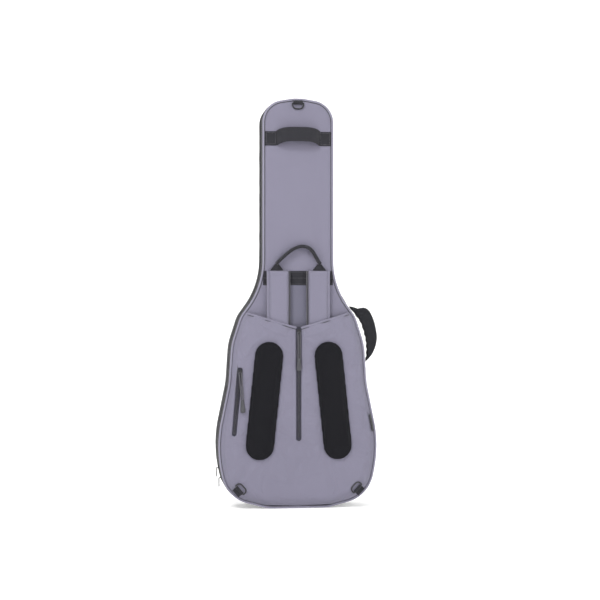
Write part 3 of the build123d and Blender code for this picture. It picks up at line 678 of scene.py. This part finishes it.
rearPanel = outlineSheet(
    "rearPanel", rearPanelShape["inset"], 210, 76, rearPanelY, lambda x, z, d: np.full(x.shape, -46.0))
finishPiece(rearPanel, "back", "grey_cloth", "greyCloth", "rear_panel")

frontPanelShape = {
    "inset": 6.0, "crown": 2.6, "reach": 20.0, "dip": 1.1,
    "creases": [(40, 520, 20, 90, 8, 0.8), (-60, 500, -25, 80, 8, 0.8), (0, 640, 5, 100, 12, 0.7),
                (30, 820, 85, 130, 10, 0.6), (-40, 930, 80, 100, 9, 0.6)],
}


def frontPanelY(x, z, d):
    shape = frontPanelShape
    crown = shape["crown"] * (1 - np.exp(-np.maximum(d, 0) / shape["reach"]))
    dip = shape["dip"] * np.exp(-np.maximum(d, 0) / 2.2)
    folds = wrinkles(x, z, shape["creases"]) * np.clip(d / 20, 0, 1)
    return lidY(z) + crown - dip + folds + 0.35 * bumps(x, z, 100, 4) * np.clip(d / 30, 0, 1)


frontPanel = outlineSheet(
    "frontPanel", frontPanelShape["inset"], 210, 76, frontPanelY, lambda x, z, d: lidY(z) - 12)
finishPiece(frontPanel, "lid", "grey_cloth", "greyCloth", "front_panel")


def quilt(x, z):
    return 0.5 * bumps(x, z, 60, 8)


rearLining = outlineSheet(
    "rearLining", 8.6, 130, 50, lambda x, z, d: -46.0 + 0 * x,
    lambda x, z, d: -44.2 + quilt(x, z) * np.clip(d / 15, 0, 1))
finishPiece(rearLining, "back", "lining", "lining", "rear_lining")
frontLining = outlineSheet(
    "frontLining", 8.6, 130, 50, lambda x, z, d: lidY(z) - 12,
    lambda x, z, d: lidY(z) - 13.8 - quilt(x, z) * np.clip(d / 15, 0, 1))
finishPiece(frontLining, "lid", "lining", "lining", "front_lining")

print("stage: main zip")


def shareAtHeight(z):
    right = outlinePoints[:1301]
    rise = np.maximum.accumulate(right[:, 1]) + np.arange(1301) * 1e-6
    return float(np.interp(z, rise, np.linspace(0, 0.5, 1301)))


spineLow, spineHigh = (shareAtHeight(z) for z in bagShape["spine"])
tapeInset = [2.2, 2.2, 2.6, 3.8, 4.2, 4.2, 3.8, 2.6]
for side, body, node in ((-1, "back", "main_zip_tape_rear"), (1, "lid", "main_zip_tape_front")):
    label = "Rear" if side < 0 else "Front"
    tape = ringSweep("mainTape" + label, tapeInset, lambda z: [
        side * y for y in (8.6, 1.0, 0.6, 0.6, 1.0, 8.6, 9.2, 9.2)],
        620, spineHigh, 1 + spineLow, closed=False)
    finishPiece(tape, body, "zip_tape", "zipTape", node)
    run, out = outlineAt(2.6, 1250, spineHigh, 1 + spineLow)
    path = np.c_[run[:, 0], np.full(len(run), side * 1.7), run[:, 1]]
    at, way = spacedAlong(path, 2.1)
    tooth, toothFaces = capsule(1.5, 2.5, 2.6, 6)
    normals = np.cross(way, np.array([0, 1, 0]))
    teeth = repeatAlong("mainTeeth" + label, tooth, toothFaces, at, way, normals)
    finishPiece(teeth, body, "zip_tape", "coil")

spineInset = [2.0, 1.4, 1.2, 1.4, 2.0, 4.2, 4.4, 4.2]
spine = ringSweep("spineHinge", spineInset, lambda z: [-9.0, -5, 0, 5, 8.6, 8.6, 0, -9.0], 60,
                  spineLow, spineHigh, closed=False)
subdivide(spine)
spine.data.materials.append(materials["blackCloth"])
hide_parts("spine_hinge")
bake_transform(spine)

print("stage: strap pocket")

pocketShape = {
    "inset": 6.4, "rise": 18.0, "run": 15.0, "mouthZ": 481.0, "mouthSide": (134.0, 521.0), "cloth": 2.6,
    "crown": 1.6, "rows": 150, "cols": 90,
    "creases": [(-40, 203, -30, 30, 2.6, 2.0), (-152, 201, 40, 30, 2.6, 1.9), (60, 470, 24, 46, 3, 1.9),
                (75, 446, 30, 40, 3.2, 1.3), (-66, 470, -22, 40, 3.2, 1.2), (34, 92, 14, 70, 5, 1.7),
                (-60, 80, -14, 80, 6, 1.6), (110, 118, 30, 60, 5, 1.4), (-118, 128, -35, 60, 4.5, 1.3),
                (0, 110, 0, 60, 11, -2.2), (150, 420, 75, 60, 4, 1.3), (-156, 432, -75, 50, 4, 1.2),
                (-150, 392, 20, 30, 2.6, 1.5), (-158, 176, -10, 34, 3, 1.4), (24, 168, -35, 34, 3, 1.3)],
    "pads": {"centre": (91.5, 287.0), "lean": 5.9, "size": (77.0, 315.0)},
    "centreZip": (15.0, 179.0), "sideZip": ((-155.0, 375.0), (-172.0, 193.5), 13.0),
}


def pocketMouth(x):
    sideX, sideZ = pocketShape["mouthSide"]
    soft = np.sqrt(np.asarray(x) ** 2 + 9.0) - 3.0
    return pocketShape["mouthZ"] + (sideZ - pocketShape["mouthZ"]) / sideX * soft


def padReach(x, z, side):
    # distance outside a back pad's edge, negative inside it
    shape = pocketShape["pads"]
    lean = math.radians(shape["lean"]) * side
    dx, dz = x - side * shape["centre"][0], z - shape["centre"][1]
    along = dx * -math.sin(lean) + dz * math.cos(lean)
    across = dx * math.cos(lean) + dz * math.sin(lean)
    half = (shape["size"][1] - shape["size"][0]) / 2
    along = np.maximum(np.abs(along) - half, 0)
    return np.hypot(along, across) - shape["size"][0] / 2


def slotReach(x, z, top, low):
    a, b = np.array(top), np.array(low)
    way = b - a
    t = np.clip(((x - a[0]) * way[0] + (z - a[1]) * way[1]) / way.dot(way), 0, 1)
    return np.hypot(x - a[0] - t * way[0], z - a[1] - t * way[1])


def zipSeat(x, z):
    # cloth turned under beside the two zips, and the low strip that their tapes lie in
    seat = np.zeros(np.shape(x))
    top, low, width = pocketShape["sideZip"]
    wide = pocketShape["centreZip"][0]
    centre = slotReach(x, z, (0, 520), (0, pocketShape["centreZip"][1] + wide / 2))
    aside = slotReach(x, z, (top[0] - 0.6, top[1] - 6.5), (low[0] + 0.6, low[1] + 6.5))
    for reach, half in ((centre, wide / 2), (aside, width / 2)):
        seat += 2.2 / (1 + np.exp((reach - half) / 0.45))
        seat -= 0.8 * np.exp(-((reach - half - 3.0) / 2.4) ** 2)
    return seat


def pocketY(x, z, d):
    shape = pocketShape
    rise = shape["rise"] * (1 - np.exp(-(np.maximum(d, 0) / shape["run"]) ** 1.35 * 1.6))
    free = np.clip(np.minimum(padReach(x, z, 1), padReach(x, z, -1)) / 14, 0, 1)
    swell = shape["crown"] * free * np.clip(d / 40, 0, 1) * (0.6 + 0.4 * np.clip((260 - z) / 200, 0, 1))
    crease = wrinkles(x, z, shape["creases"]) * np.clip(free * 3, 0, 1) * np.clip(d / 20, 0, 1)
    uneven = 0.35 * bumps(x, z, 80, 6) * free * np.clip(d / 30, 0, 1)
    keep = np.clip(slotReach(x, z, (0, 520), (0, 186)) / 16, 0, 1)
    return -58.4 - rise - (swell + crease + uneven) * (0.3 + 0.7 * keep) + zipSeat(x, z)


def strapPocket():
    shape = pocketShape
    low = shape["inset"]
    v = np.linspace(0, 1, shape["rows"])
    v = 0.7 * v + 0.3 * np.sin(v * math.pi / 2)
    u = np.linspace(-1, 1, shape["cols"] * 2 + 1)
    u = 0.5 * u + 0.5 * np.sin(u * math.pi / 2)
    zRow = low + (shape["mouthZ"] - low) * v
    x = np.outer(halfWidth(zRow, low), u)
    for _ in range(12):
        lift = (pocketMouth(x) - shape["mouthZ"]) * (v[:, None] ** 5)
        z = zRow[:, None] + lift
        x = halfWidth(z, low) * u[None, :]
    d = edgeDistance(x, z) - low
    outer = pocketY(x, z, d)
    inner = outer + np.minimum(shape["cloth"], np.maximum(-58.1 - outer, 0.3))
    return twoSkins("strapPocket", x, z, outer, inner)


pocket = strapPocket()


def pocketHeld(points):
    x, y, z = points.T
    d = edgeDistance(x, z)
    pad = np.minimum(padReach(x, z, 1), padReach(x, z, -1))
    zips = np.minimum(slotReach(x, z, (0, 520), (0, 186)), slotReach(x, z, (-155.6, 368), (-171, 200)))
    return np.where((d < 18) | (pad < 3) | (zips < 15) | (z > pocketMouth(x) - 4), 1.0, 0.0)


inflate(pocket, 1.2, 2.2, pocketHeld, frames=12, grow=0.01)
finishPiece(pocket, "back", "grey_cloth", "greyCloth", "strap_pocket_panel")


def pocketPoint(x, z, stand=0.0):
    x, z = np.asarray(x, float), np.asarray(z, float)
    return np.c_[x, pocketY(x, z, edgeDistance(x, z) - pocketShape["inset"]) - stand, z]


# hem along the mouth, two rows of stitches under it
hemX = np.linspace(-163, 163, 180)
hemX = hemX[np.abs(hemX) < halfWidth(pocketMouth(hemX), 8.0)]
hemLine = pocketPoint(hemX, pocketMouth(hemX) - 2.2, 0.0)
hemLine[:, 1] = np.minimum(hemLine[:, 1], -58.5) + 1.0
hem = sweep("mouthHem", hemLine, roundedSection(5.2, 4.2, 1.8), (0, 0, 1))
finishPiece(hem, "back", "grey_cloth", "greyCloth")
# dark strip just under the hem: a seam line that also paints the shadow the hem casts
shadowLine = pocketPoint(hemX, pocketMouth(hemX) - 6.4, -0.2)
seam = sweep("mouthSeamShadow", shadowLine, roundedSection(2.0, 1.2, 0.5), (0, 0, 1))
finishPiece(seam, "back", "webbing", "binding")
stitchRow("mouthStitches", pocketPoint(hemX, pocketMouth(hemX) - 10.0, 0.45), (0, -1, 0),
          "back", "greyThread")
edgeRun, _ = outlineAt(14.0, 1400, 0.0, 1.0)
edgeRun = edgeRun[edgeRun[:, 1] < pocketMouth(edgeRun[:, 0]) - 8]
middle = int(np.argmax(np.linalg.norm(np.diff(edgeRun, axis=0), axis=1))) + 1
edgeRun = np.vstack([edgeRun[middle:], edgeRun[:middle]])
edgeLine = pocketPoint(edgeRun[:, 0], edgeRun[:, 1], 0.35)
slopeOut = np.array([0, -1, 0])
stitchRow("pocketEdgeStitches", edgeLine, slopeOut, "back", "greyThread")

print("stage: zips on the pocket")


def zipStrip(label, node, body, top, low, width, faceY, out):
    # tape with a round lower end, coil teeth in two rows
    top, low = np.array(top, float), np.array(low, float)
    length = np.linalg.norm(low - top)
    s = np.linspace(0, 1, 60)
    path = np.c_[top[0] + (low[0] - top[0]) * s, np.full(60, faceY), top[1] + (low[1] - top[1]) * s]
    left = (1 - s) * length
    shrink = np.sqrt(np.clip(1 - np.clip(1 - left / (width / 2), 0, 0.98) ** 2, 0.02, 1))
    side = np.array([low[1] - top[1], 0, top[0] - low[0]]) / length
    section = roundedSection(width, 1.2, 0.4)
    tape = sweep(label + "Tape", path, section, side, scales=np.c_[shrink, np.ones(60)])
    finishPiece(tape, body, "zip_tape", "zipTape", node)
    at, way = spacedAlong(path[2:-2], 1.9)
    tooth, faces = capsule(1.35, 3.0, 2.0, 6)
    lift = np.array([0, out * 0.7, 0])
    rows = np.vstack([at + side * 1.15 + lift, at - side * 1.15 + lift])
    rows[len(at):] += way * 0.95
    teeth = repeatAlong(label + "Teeth", tooth, faces, rows, np.vstack([way, way]), (0, out, 0))
    finishPiece(teeth, body, "zip_tape", "coil")


zipStrip("centreZip", "centre_zip_tape", "back", (0, 483.5), (0, 179), 14.6, -75.4, -1)
topZ, lowZ, _ = pocketShape["sideZip"]
zipStrip("sideZip", "side_zip_tape", "back", topZ, lowZ, 12.6, -75.4, -1)

slidersShown = ["centre_zip_slider", "side_zip_slider", "front_zip_slider",
                "main_slider_upper", "main_slider_lower",
                "main_pull_upper", "main_pull_lower", "top_d_ring"]
plasticShown = ["ladder_lock_left", "ladder_lock_right", "snap_hook_left", "snap_hook_right",
                "lower_d_ring_left", "lower_d_ring_right"]
for names, finish in ((slidersShown, "blackMetal"), (plasticShown, "blackPlastic")):
    for name in names:
        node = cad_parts[name]
        node.data.materials.clear()
        node.data.materials.append(materials[finish])
        weld = node.modifiers.new("Weld", "WELD")
        weld.merge_threshold = 0.00001
        bevel = node.modifiers.new("Bevel", "BEVEL")
        bevel.width = 0.00035
        bevel.segments = 2
        bevel.limit_method = "ANGLE"

pullShape = {"strand": 1.6, "spread": 3.0, "grip": 34.0, "width": 12.5, "thick": 5.2, "ribs": 6}


def cordPull(label, node, body, pivot, length, lean, out):
    # doubled cord through the slider's bail, moulded grip on its lower end
    shape = pullShape
    turn = math.radians(lean)
    down = np.array([math.sin(turn), 0, -math.cos(turn)])
    side = np.array([math.cos(turn), 0, math.sin(turn)])
    strand = length - shape["grip"]
    loop = []
    for k in range(13):
        a = math.pi * k / 12
        drop = shape["spread"] - shape["spread"] * math.sin(a)
        loop.append(pivot + down * drop + side * shape["spread"] * math.cos(a))
    start = [loop[0] + down * t for t in np.linspace(strand + 4 - shape["spread"], 4, 10)]
    end = [loop[-1] + down * t for t in np.linspace(4, strand + 4 - shape["spread"], 10)]
    for k, p in enumerate(end):
        p += np.array([0, out * 0.5, 0]) + side * 0.8 * math.sin(k / 3)
    cord = sweep(label + "Cord", np.array(start + loop + end), roundSection(shape["strand"], 8), (0, 1, 0))
    finishPiece(cord, body, "pull_rubber", "pullCord")
    s = np.linspace(0, 1, 50)
    path = pivot + down * (strand + shape["grip"] * s[:, None])
    flare = 0.62 + 0.38 * np.clip(s * 1.4, 0, 1) ** 1.2
    ends = np.sqrt(np.clip(1 - np.clip(1 - s / 0.06, 0, 1) ** 2, 0.03, 1))
    ends = ends * np.sqrt(np.clip(1 - np.clip((s - 0.92) / 0.08, 0, 1) ** 2, 0.03, 1))
    ribs = 1 - 0.09 * (0.5 + 0.5 * np.cos(s * shape["ribs"] * 12.566)) * ((s > 0.3) & (s < 0.85))
    grip = sweep(label + "Grip", path, roundedSection(shape["thick"], shape["width"], 2.2, 4), (0, 1, 0),
                 scales=np.c_[(0.8 + 0.2 * flare) * ribs * ends, flare * ends])
    return finishPiece(grip, body, "pull_rubber", "pullRubber", node)


pivotY = -82.05
cordPull("centrePull", "centre_zip_pull", "centre_pull", np.array([0, pivotY, 469.5]), 104.0, 0.0, -1)
cordPull("sidePull", "side_zip_pull", "side_pull", np.array([-156.07, pivotY, 363.55]), 108.0, 4.0, -1)
cordPull("frontPull", "front_zip_pull", "front_pull", np.array([103.5, 92.25, 415.0]), 62.0, 0.0, 1)

print("stage: back pads")

backPadShape = {"top": -84.2, "channel": 5.0, "depth": 1.6}
for side, word in ((-1, "left"), (1, "right")):
    pad = softCopy("back_pad_" + word, "backPad" + word.title(), 3.4, rounds=4)

    def padHeld(points):
        return np.where(points[:, 1] > -78.5, 1.0, 0.0)

    inflate(pad, 2.5, 2.4, padHeld, frames=14)
    subdivide(pad)

    def padFinish(points, normals):
        x, y, z = points.T
        inside = -padReach(x, z, side)
        top = y < -79.0
        channel = backPadShape["depth"] * np.exp(-((inside - backPadShape["channel"]) / 1.5) ** 2)
        moved = points.copy()
        moved[:, 1] = np.where(top, y + channel - 0.25 * bumps(x, z, 60, 12 + side), y)
        moved[:, 1] = np.where(y > -76.6, y + 1.6, moved[:, 1])
        return moved

    moveVerts(pad, padFinish)
    finishPiece(pad, "back", "neoprene", "padMesh", "back_pad_" + word)

print("stage: shoulder straps")

strapShape = {"centre": 53.0, "width": 61.0, "binding": 5.4, "top": 632.0, "low": 300.0, "y": -65.75}
for side, word in ((-1, "left"), (1, "right")):
    strap = softCopy("strap_pad_" + word, "strapPad" + word.title(), 3.4, rounds=4)

    def strapHeld(points):
        across = np.abs(points[:, 0] - side * strapShape["centre"])
        return np.where((across > 25.5) | (points[:, 1] > -63.0), 1.0, 0.0)

    inflate(strap, 2.0, 1.4, strapHeld, frames=12)
    subdivide(strap)

    def strapFinish(points, normals):
        x, y, z = points.T
        across = np.abs(x - side * strapShape["centre"])
        moved = points.copy()
        seat = 1.2 * np.exp(-((across - 24.5) / 1.6) ** 2)
        rows = 0.9 * np.exp(-((z - 624.0) / 1.6) ** 2)
        moved[:, 1] = np.where(y < -68, y + seat + rows - 0.25 * bumps(x, z, 50, 20 + side), y)
        moved[:, 1] -= 1.3
        return moved

    moveVerts(strap, strapFinish)
    finishPiece(strap, "back", "grey_cloth", "greyCloth", "strap_pad_" + word)
    for edge in (-1, 1):
        x = side * strapShape["centre"] + edge * (strapShape["width"] / 2 - 1.9)
        z = np.linspace(strapShape["low"] + 1, strapShape["top"] - 1, 90)
        path = np.c_[x + 0.3 * np.sin(z / 37.0 + side), np.full(90, strapShape["y"] - 1.6), z]
        bind = sweep("strapBinding" + word.title() + ("Outer" if edge == side else "Inner"), path,
                     roundedSection(10.8, strapShape["binding"], 2.4), (0, 1, 0))
        # outer edges take the grey cloth and inner edges the dark binding finish: dark edge binding, partly
        # painted shade that falls between the two straps
        if edge == side:
            finishPiece(bind, "back", "grey_cloth", "greyCloth")
        else:
            finishPiece(bind, "back", "webbing", "binding")
    z = np.linspace(strapShape["low"] + 6, strapShape["top"] - 8, 90)
    for edge in (-1, 1):
        x = np.full(90, side * strapShape["centre"] + edge * 23.0)
        row = np.c_[x, np.full(90, -72.2), z]
        name = "strapStitches" + word.title() + ("A" if edge < 0 else "B")
        stitchRow(name, row, (0, -1, 0), "back", "greyThread")


def rearSurface(x, z, stand=0.0):
    x, z = np.broadcast_arrays(np.asarray(x, float), np.asarray(z, float))
    return np.c_[x, rearPanelY(x, z, edgeDistance(x, z) - rearPanelShape["inset"]) - stand, z]


# a thin darker sheet over the panel between the two straps: painted shade of the recess there, not a part of
# the bag
recessShape = {"half": 22.5, "low": 470.0, "high": 594.0, "thick": 0.7}
recessX, recessZ = np.meshgrid(np.linspace(-1, 1, 25) * recessShape["half"], np.linspace(
    recessShape["low"], recessShape["high"], 60))
recessY = rearPanelY(recessX, recessZ, edgeDistance(recessX, recessZ) - rearPanelShape["inset"])
recess = twoSkins("paintedRecessShade", recessX, recessZ, recessY - recessShape["thick"], recessY + 0.4)
finishPiece(recess, "back", "grey_cloth", "paintedShadeCloth")


def bandPiece(name, x, z, width, stand, body, node, up=(0, 0, 1), thick=2.0):
    path = rearSurface(x, z, stand)
    piece = sweep(name, path, roundedSection(width, thick, 0.7), up)
    return finishPiece(piece, body, "webbing", "webbing", node)


bandX = np.linspace(-100, 100, 90)
bandZ = 612.0
bandX = bandX[np.abs(bandX) < halfWidth(bandZ, 5.0)]
bandPiece("anchorBand", bandX, np.full(len(bandX), bandZ), 38.0, 0.7, "back", "strap_anchor_band")
for row, height in enumerate((612.0, 628.0, 596.0)):
    line = rearSurface(bandX, np.full(len(bandX), height), 1.9)
    stitchRow("bandStitches" + str(row), line, (0, -1, 0), "back")

for side, word in ((-1, "left"), (1, "right")):
    z = np.linspace(178, 279, 60)
    x = side * 53 + 0.8 * np.sin(z / 23.0)
    y = -65.75 + 1.2 * np.sin(z / 31.0 + side)
    tail = sweep("strapTail" + word.title(), np.c_[x, y, z], roundedSection(25.0, 2.0, 0.7), (1, 0, 0))
    finishPiece(tail, "back", "webbing", "webbing", "strap_tail_" + word)

print("stage: handles and loops")

neckHandleShape = {"z": 982.8, "bow": 10.0, "flat": 58.0, "end": 88.4, "stand": 21.5, "width": 37.8}
shape = neckHandleShape
handleX = np.linspace(-shape["end"], shape["end"], 120)
share = np.clip(1 - (np.abs(handleX) / shape["flat"]) ** 4.0, 0, 1)
liftY = shape["stand"] * np.clip(1 - (np.abs(handleX) / shape["flat"]) ** 4.0, 0, 1) ** 0.9
handleSeat = rearSurface(handleX, np.full(120, shape["z"]), 0.9)
handlePath = handleSeat + np.c_[np.zeros(120), -liftY, shape["bow"] * share]
section = roundedSection(shape["width"], 2.0, 0.7)
neckHandle = sweep("neckHandle", smoothPath(handlePath, 150, 1), section, (0, 0, 1))
finishPiece(neckHandle, "back", "webbing", "webbing", "neck_handle")
for side, word in ((-1, "Left"), (1, "Right")):
    patch = []
    for dx, dz in ((0, -15), (24, -15), (24, 15), (0, 15), (0, -15)):
        patch.append((side * (shape["flat"] + 3 + dx), shape["z"] + dz))
    corners = smoothPath(patch, 60, 0)
    seat = rearSurface(corners[:, 0], corners[:, 1], 2.1)
    stitchRow("neckHandleStitches" + word, seat, (0, -1, 0), "back")

haulShape = {"thick": 8.4, "depth": 15.6, "y": -69.0}
haulPoints = [
    (-58.5, 649.5), (-50, 659), (-23, 684), (2, 696.5),
    (20, 696), (36, 687.5), (51, 660), (58.5, 649.5),
]
haulPath = smoothPath(haulPoints, 90, 3)
haulPath = np.c_[haulPath[:, 0], np.full(90, haulShape["y"]), haulPath[:, 1]]
haulLoop = sweep("haulLoop", haulPath, roundedSection(haulShape["depth"], haulShape["thick"], 2.6), (0, 1, 0))
finishPiece(haulLoop, "haul_loop", "webbing", "webbing", "haul_loop")
for edge in (-1, 1):
    across = np.cross((0, 1, 0), np.gradient(haulPath, axis=0))
    across /= np.linalg.norm(across, axis=1)[:, None]
    for k in (-1, 1):
        path = haulPath[3:-3] + across[3:-3] * k * 3.5 + np.array([0, edge * 5.0, 0])
        stitchRow("haulStitches" + ("A" if edge < 0 else "B") + ("Low" if k < 0 else "High"), path,
                  across[3:-3][:1].repeat(1, 0)[0] * k, "haul_loop", pitch=4.5)

haulFeet = softCopy("haul_feet", "haulFeet", 0.9, rounds=8)
moveVerts(haulFeet, lambda p, n: p + np.array([0, -1.4, 0]) + n * 0.9)
finishPiece(haulFeet, "back", "webbing", "webbing", "haul_feet")

for node, name in (("top_ring_tab", "topRingTab"), ("lower_ring_tab_left", "lowerRingTabLeft"),
                   ("lower_ring_tab_right", "lowerRingTabRight")):
    tab = softCopy(node, name, 0.55, rounds=4)
    finishPiece(tab, "back", "webbing", "webbing", node)

sideHandle = softCopy("side_handle", "sideHandle", 2.6, rounds=6)


def gripHeld(points):
    z = points[:, 2]
    return np.where((z > 530) | (z < 393), 1.0, 0.0)


inflate(sideHandle, 1.6, 1.5, gripHeld, frames=12)
subdivide(sideHandle)


def gripFinish(points, normals):
    x, y, z = points.T
    rows = 0.8 * np.sin(z / 2.6) * np.clip(-normals[:, 0], 0, 1)
    seamLine = 0.9 * np.exp(-((y + 33) / 1.4) ** 2) * np.clip(normals[:, 0], 0, 1)
    rise = 22.0 * np.clip((x - 165) / 30, 0, 1) * np.clip((z - 470) / 50, 0, 1)
    lifted = points + np.c_[0 * x, 0 * x, rise]
    return lifted + normals * (rows - seamLine + 0.3 * bumps(y * 3, z, 40, 31))[:, None]


moveVerts(sideHandle, gripFinish)
finishPiece(sideHandle, "side_handle", "black_cloth", "blackCloth", "side_handle")

anchors = softCopy("side_handle_anchors", "sideHandleAnchors", 0.9, rounds=4)
finishPiece(anchors, "back", "webbing", "webbing", "side_handle_anchors")

seamLabel = softCopy("seam_label", "seamLabel", 0.45, rounds=3)
finishPiece(seamLabel, "back", "label_cloth", "labelCloth", "seam_label")

print("stage: inside and front")

for node, name, voxel, slot, finish in (
        ("neck_cradle", "neckCradle", 2.6, "lining", "lining"),
        ("end_pin_block", "endPinBlock", 2.2, "lining", "lining"),
        ("side_pocket_liner", "sidePocketLiner", 0.9, "lining", "lining"),
        ("neck_strap", "neckStrap", 0.9, "webbing", "webbing")):
    piece = softCopy(node, name, voxel, rounds=5)
    if voxel > 2:
        moveVerts(piece, lambda p, n: p + n * (0.3 * bumps(p[:, 0], p[:, 2], 40, 41))[:, None])
    finishPiece(piece, "back", slot, finish, node)

frontPocketCreases = [
    (-60, 380, 12, 90, 8, 1.0), (70, 360, -18, 80, 7, 0.9), (-90, 120, 35, 70, 8, 1.0),
    (95, 130, -30, 70, 8, 1.0), (0, 90, 0, 120, 10, 0.9), (-30, 250, 60, 110, 12, 0.7),
]
frontPocket = softCopy("front_pocket", "frontPocket", 2.4, rounds=3)


def frontHeld(points):
    x, y, z = points.T
    return np.where((y < 70) | (np.abs(z - 415) < 13), 1.0, 0.0)


def frontFinish(points, normals):
    x, y, z = points.T
    flat = np.clip((y - 78) / 6, 0, 1) * np.clip((np.abs(z - 415) - 8) / 14, 0, 1)
    creases = wrinkles(x, z, frontPocketCreases)
    moved = points.copy()
    moved[:, 1] += flat * (creases + 0.5 * bumps(x, z, 85, 51) + 1.0)
    return moved


inflate(frontPocket, 1.2, 2.4, frontHeld, frames=10)
moveVerts(frontPocket, frontFinish)
finishPiece(frontPocket, "lid", "grey_cloth", "greyCloth", "front_pocket")
zipStrip("frontZip", "front_zip_tape", "lid", (114, 415), (-114, 415), 12.6, 85.6, 1)

print("stage: floor, light and camera")

studio = {"distance": 3.95, "lens": 89.3, "azimuth": -7.0, "aim": (0.004, -0.07, 0.5537), "floorReach": 7.0,
          "glow": 0.32, "world": 0.46}


def addStudio():
    reach = studio["floorReach"]
    profile = [(0.0, 0.0), (reach - 2.0, 0.0)]
    bend = np.linspace(0.1, math.pi / 2, 12)
    profile += [(reach - 2.0 + 2.0 * math.sin(a), 2.0 - 2.0 * math.cos(a)) for a in bend]
    profile += [(reach, 6.0)]
    points, steps = [], 72
    for k in range(steps):
        a = fullTurn * k / steps
        points += [(r * math.cos(a) * 1000, r * math.sin(a) * 1000, h * 1000 - 0.4) for r, h in profile[1:]]
    faces = gridFaces(steps, len(profile) - 1, wrapRows=True)
    centre = len(points)
    points.append((0, 0, -0.4))
    rows = len(profile) - 1
    faces += [(centre, k * rows, ((k + 1) % steps) * rows) for k in range(steps)]
    floor = addMesh("studioFloor", points, faces, 60)
    tree, shader, where = baseMaterial("studioPaper", (0.9, 0.9, 0.9))
    grain = noiseNode(tree, where, 3.0)
    ramp = tree.nodes.new("ShaderNodeMapRange")
    ramp.inputs["To Min"].default_value = 0.90
    ramp.inputs["To Max"].default_value = 0.93
    tree.links.new(grain, ramp.inputs["Value"])
    tree.links.new(ramp.outputs[0], shader.inputs["Base Color"])
    shader.inputs["Roughness"].default_value = 0.9
    shader.inputs["Emission Color"].default_value = (1, 1, 1, 1)
    shader.inputs["Emission Strength"].default_value = studio["glow"]
    floor.data.materials.append(materials["studioPaper"])


addStudio()


def addLight(name, place, aim, size, power, colour=(1, 1, 1)):
    data = bpy.data.lights.new(name, "AREA")
    data.shape = "DISK"
    data.size = size
    data.energy = power
    data.color = colour
    light = bpy.data.objects.new(name, data)
    light.location = place
    light.rotation_euler = (Vector(aim) - Vector(place)).to_track_quat("-Z", "Y").to_euler()
    bpy.context.scene.collection.objects.link(light)


addLight("keyLight", (-2.0, -2.8, 3.9), (0, 0, 0.6), 1.4, 128)
addLight("fillLight", (2.8, -2.6, 1.6), (0, 0, 0.5), 2.2, 30)
addLight("backLight", (0.6, 3.2, 2.6), (0, 0, 0.6), 2.2, 45)
world = bpy.data.worlds.new("studioWorld")
world.use_nodes = True
world.node_tree.nodes["Background"].inputs["Color"].default_value = (1, 1, 1, 1)
world.node_tree.nodes["Background"].inputs["Strength"].default_value = studio["world"]
bpy.context.scene.world = world
bpy.context.scene.view_settings.view_transform = "Standard"

cameraData = bpy.data.cameras.new("camera")
cameraData.lens = studio["lens"]
cameraData.sensor_width = 36.0
camera = bpy.data.objects.new("camera", cameraData)
turn = math.radians(studio["azimuth"])
aim = Vector(studio["aim"])
camera.location = aim + Vector((math.sin(turn), -math.cos(turn), 0.0)) * studio["distance"]
camera.rotation_euler = (aim - camera.location).to_track_quat("-Z", "Y").to_euler()
bpy.context.scene.collection.objects.link(camera)
bpy.context.scene.camera = camera

print("stage: finished")
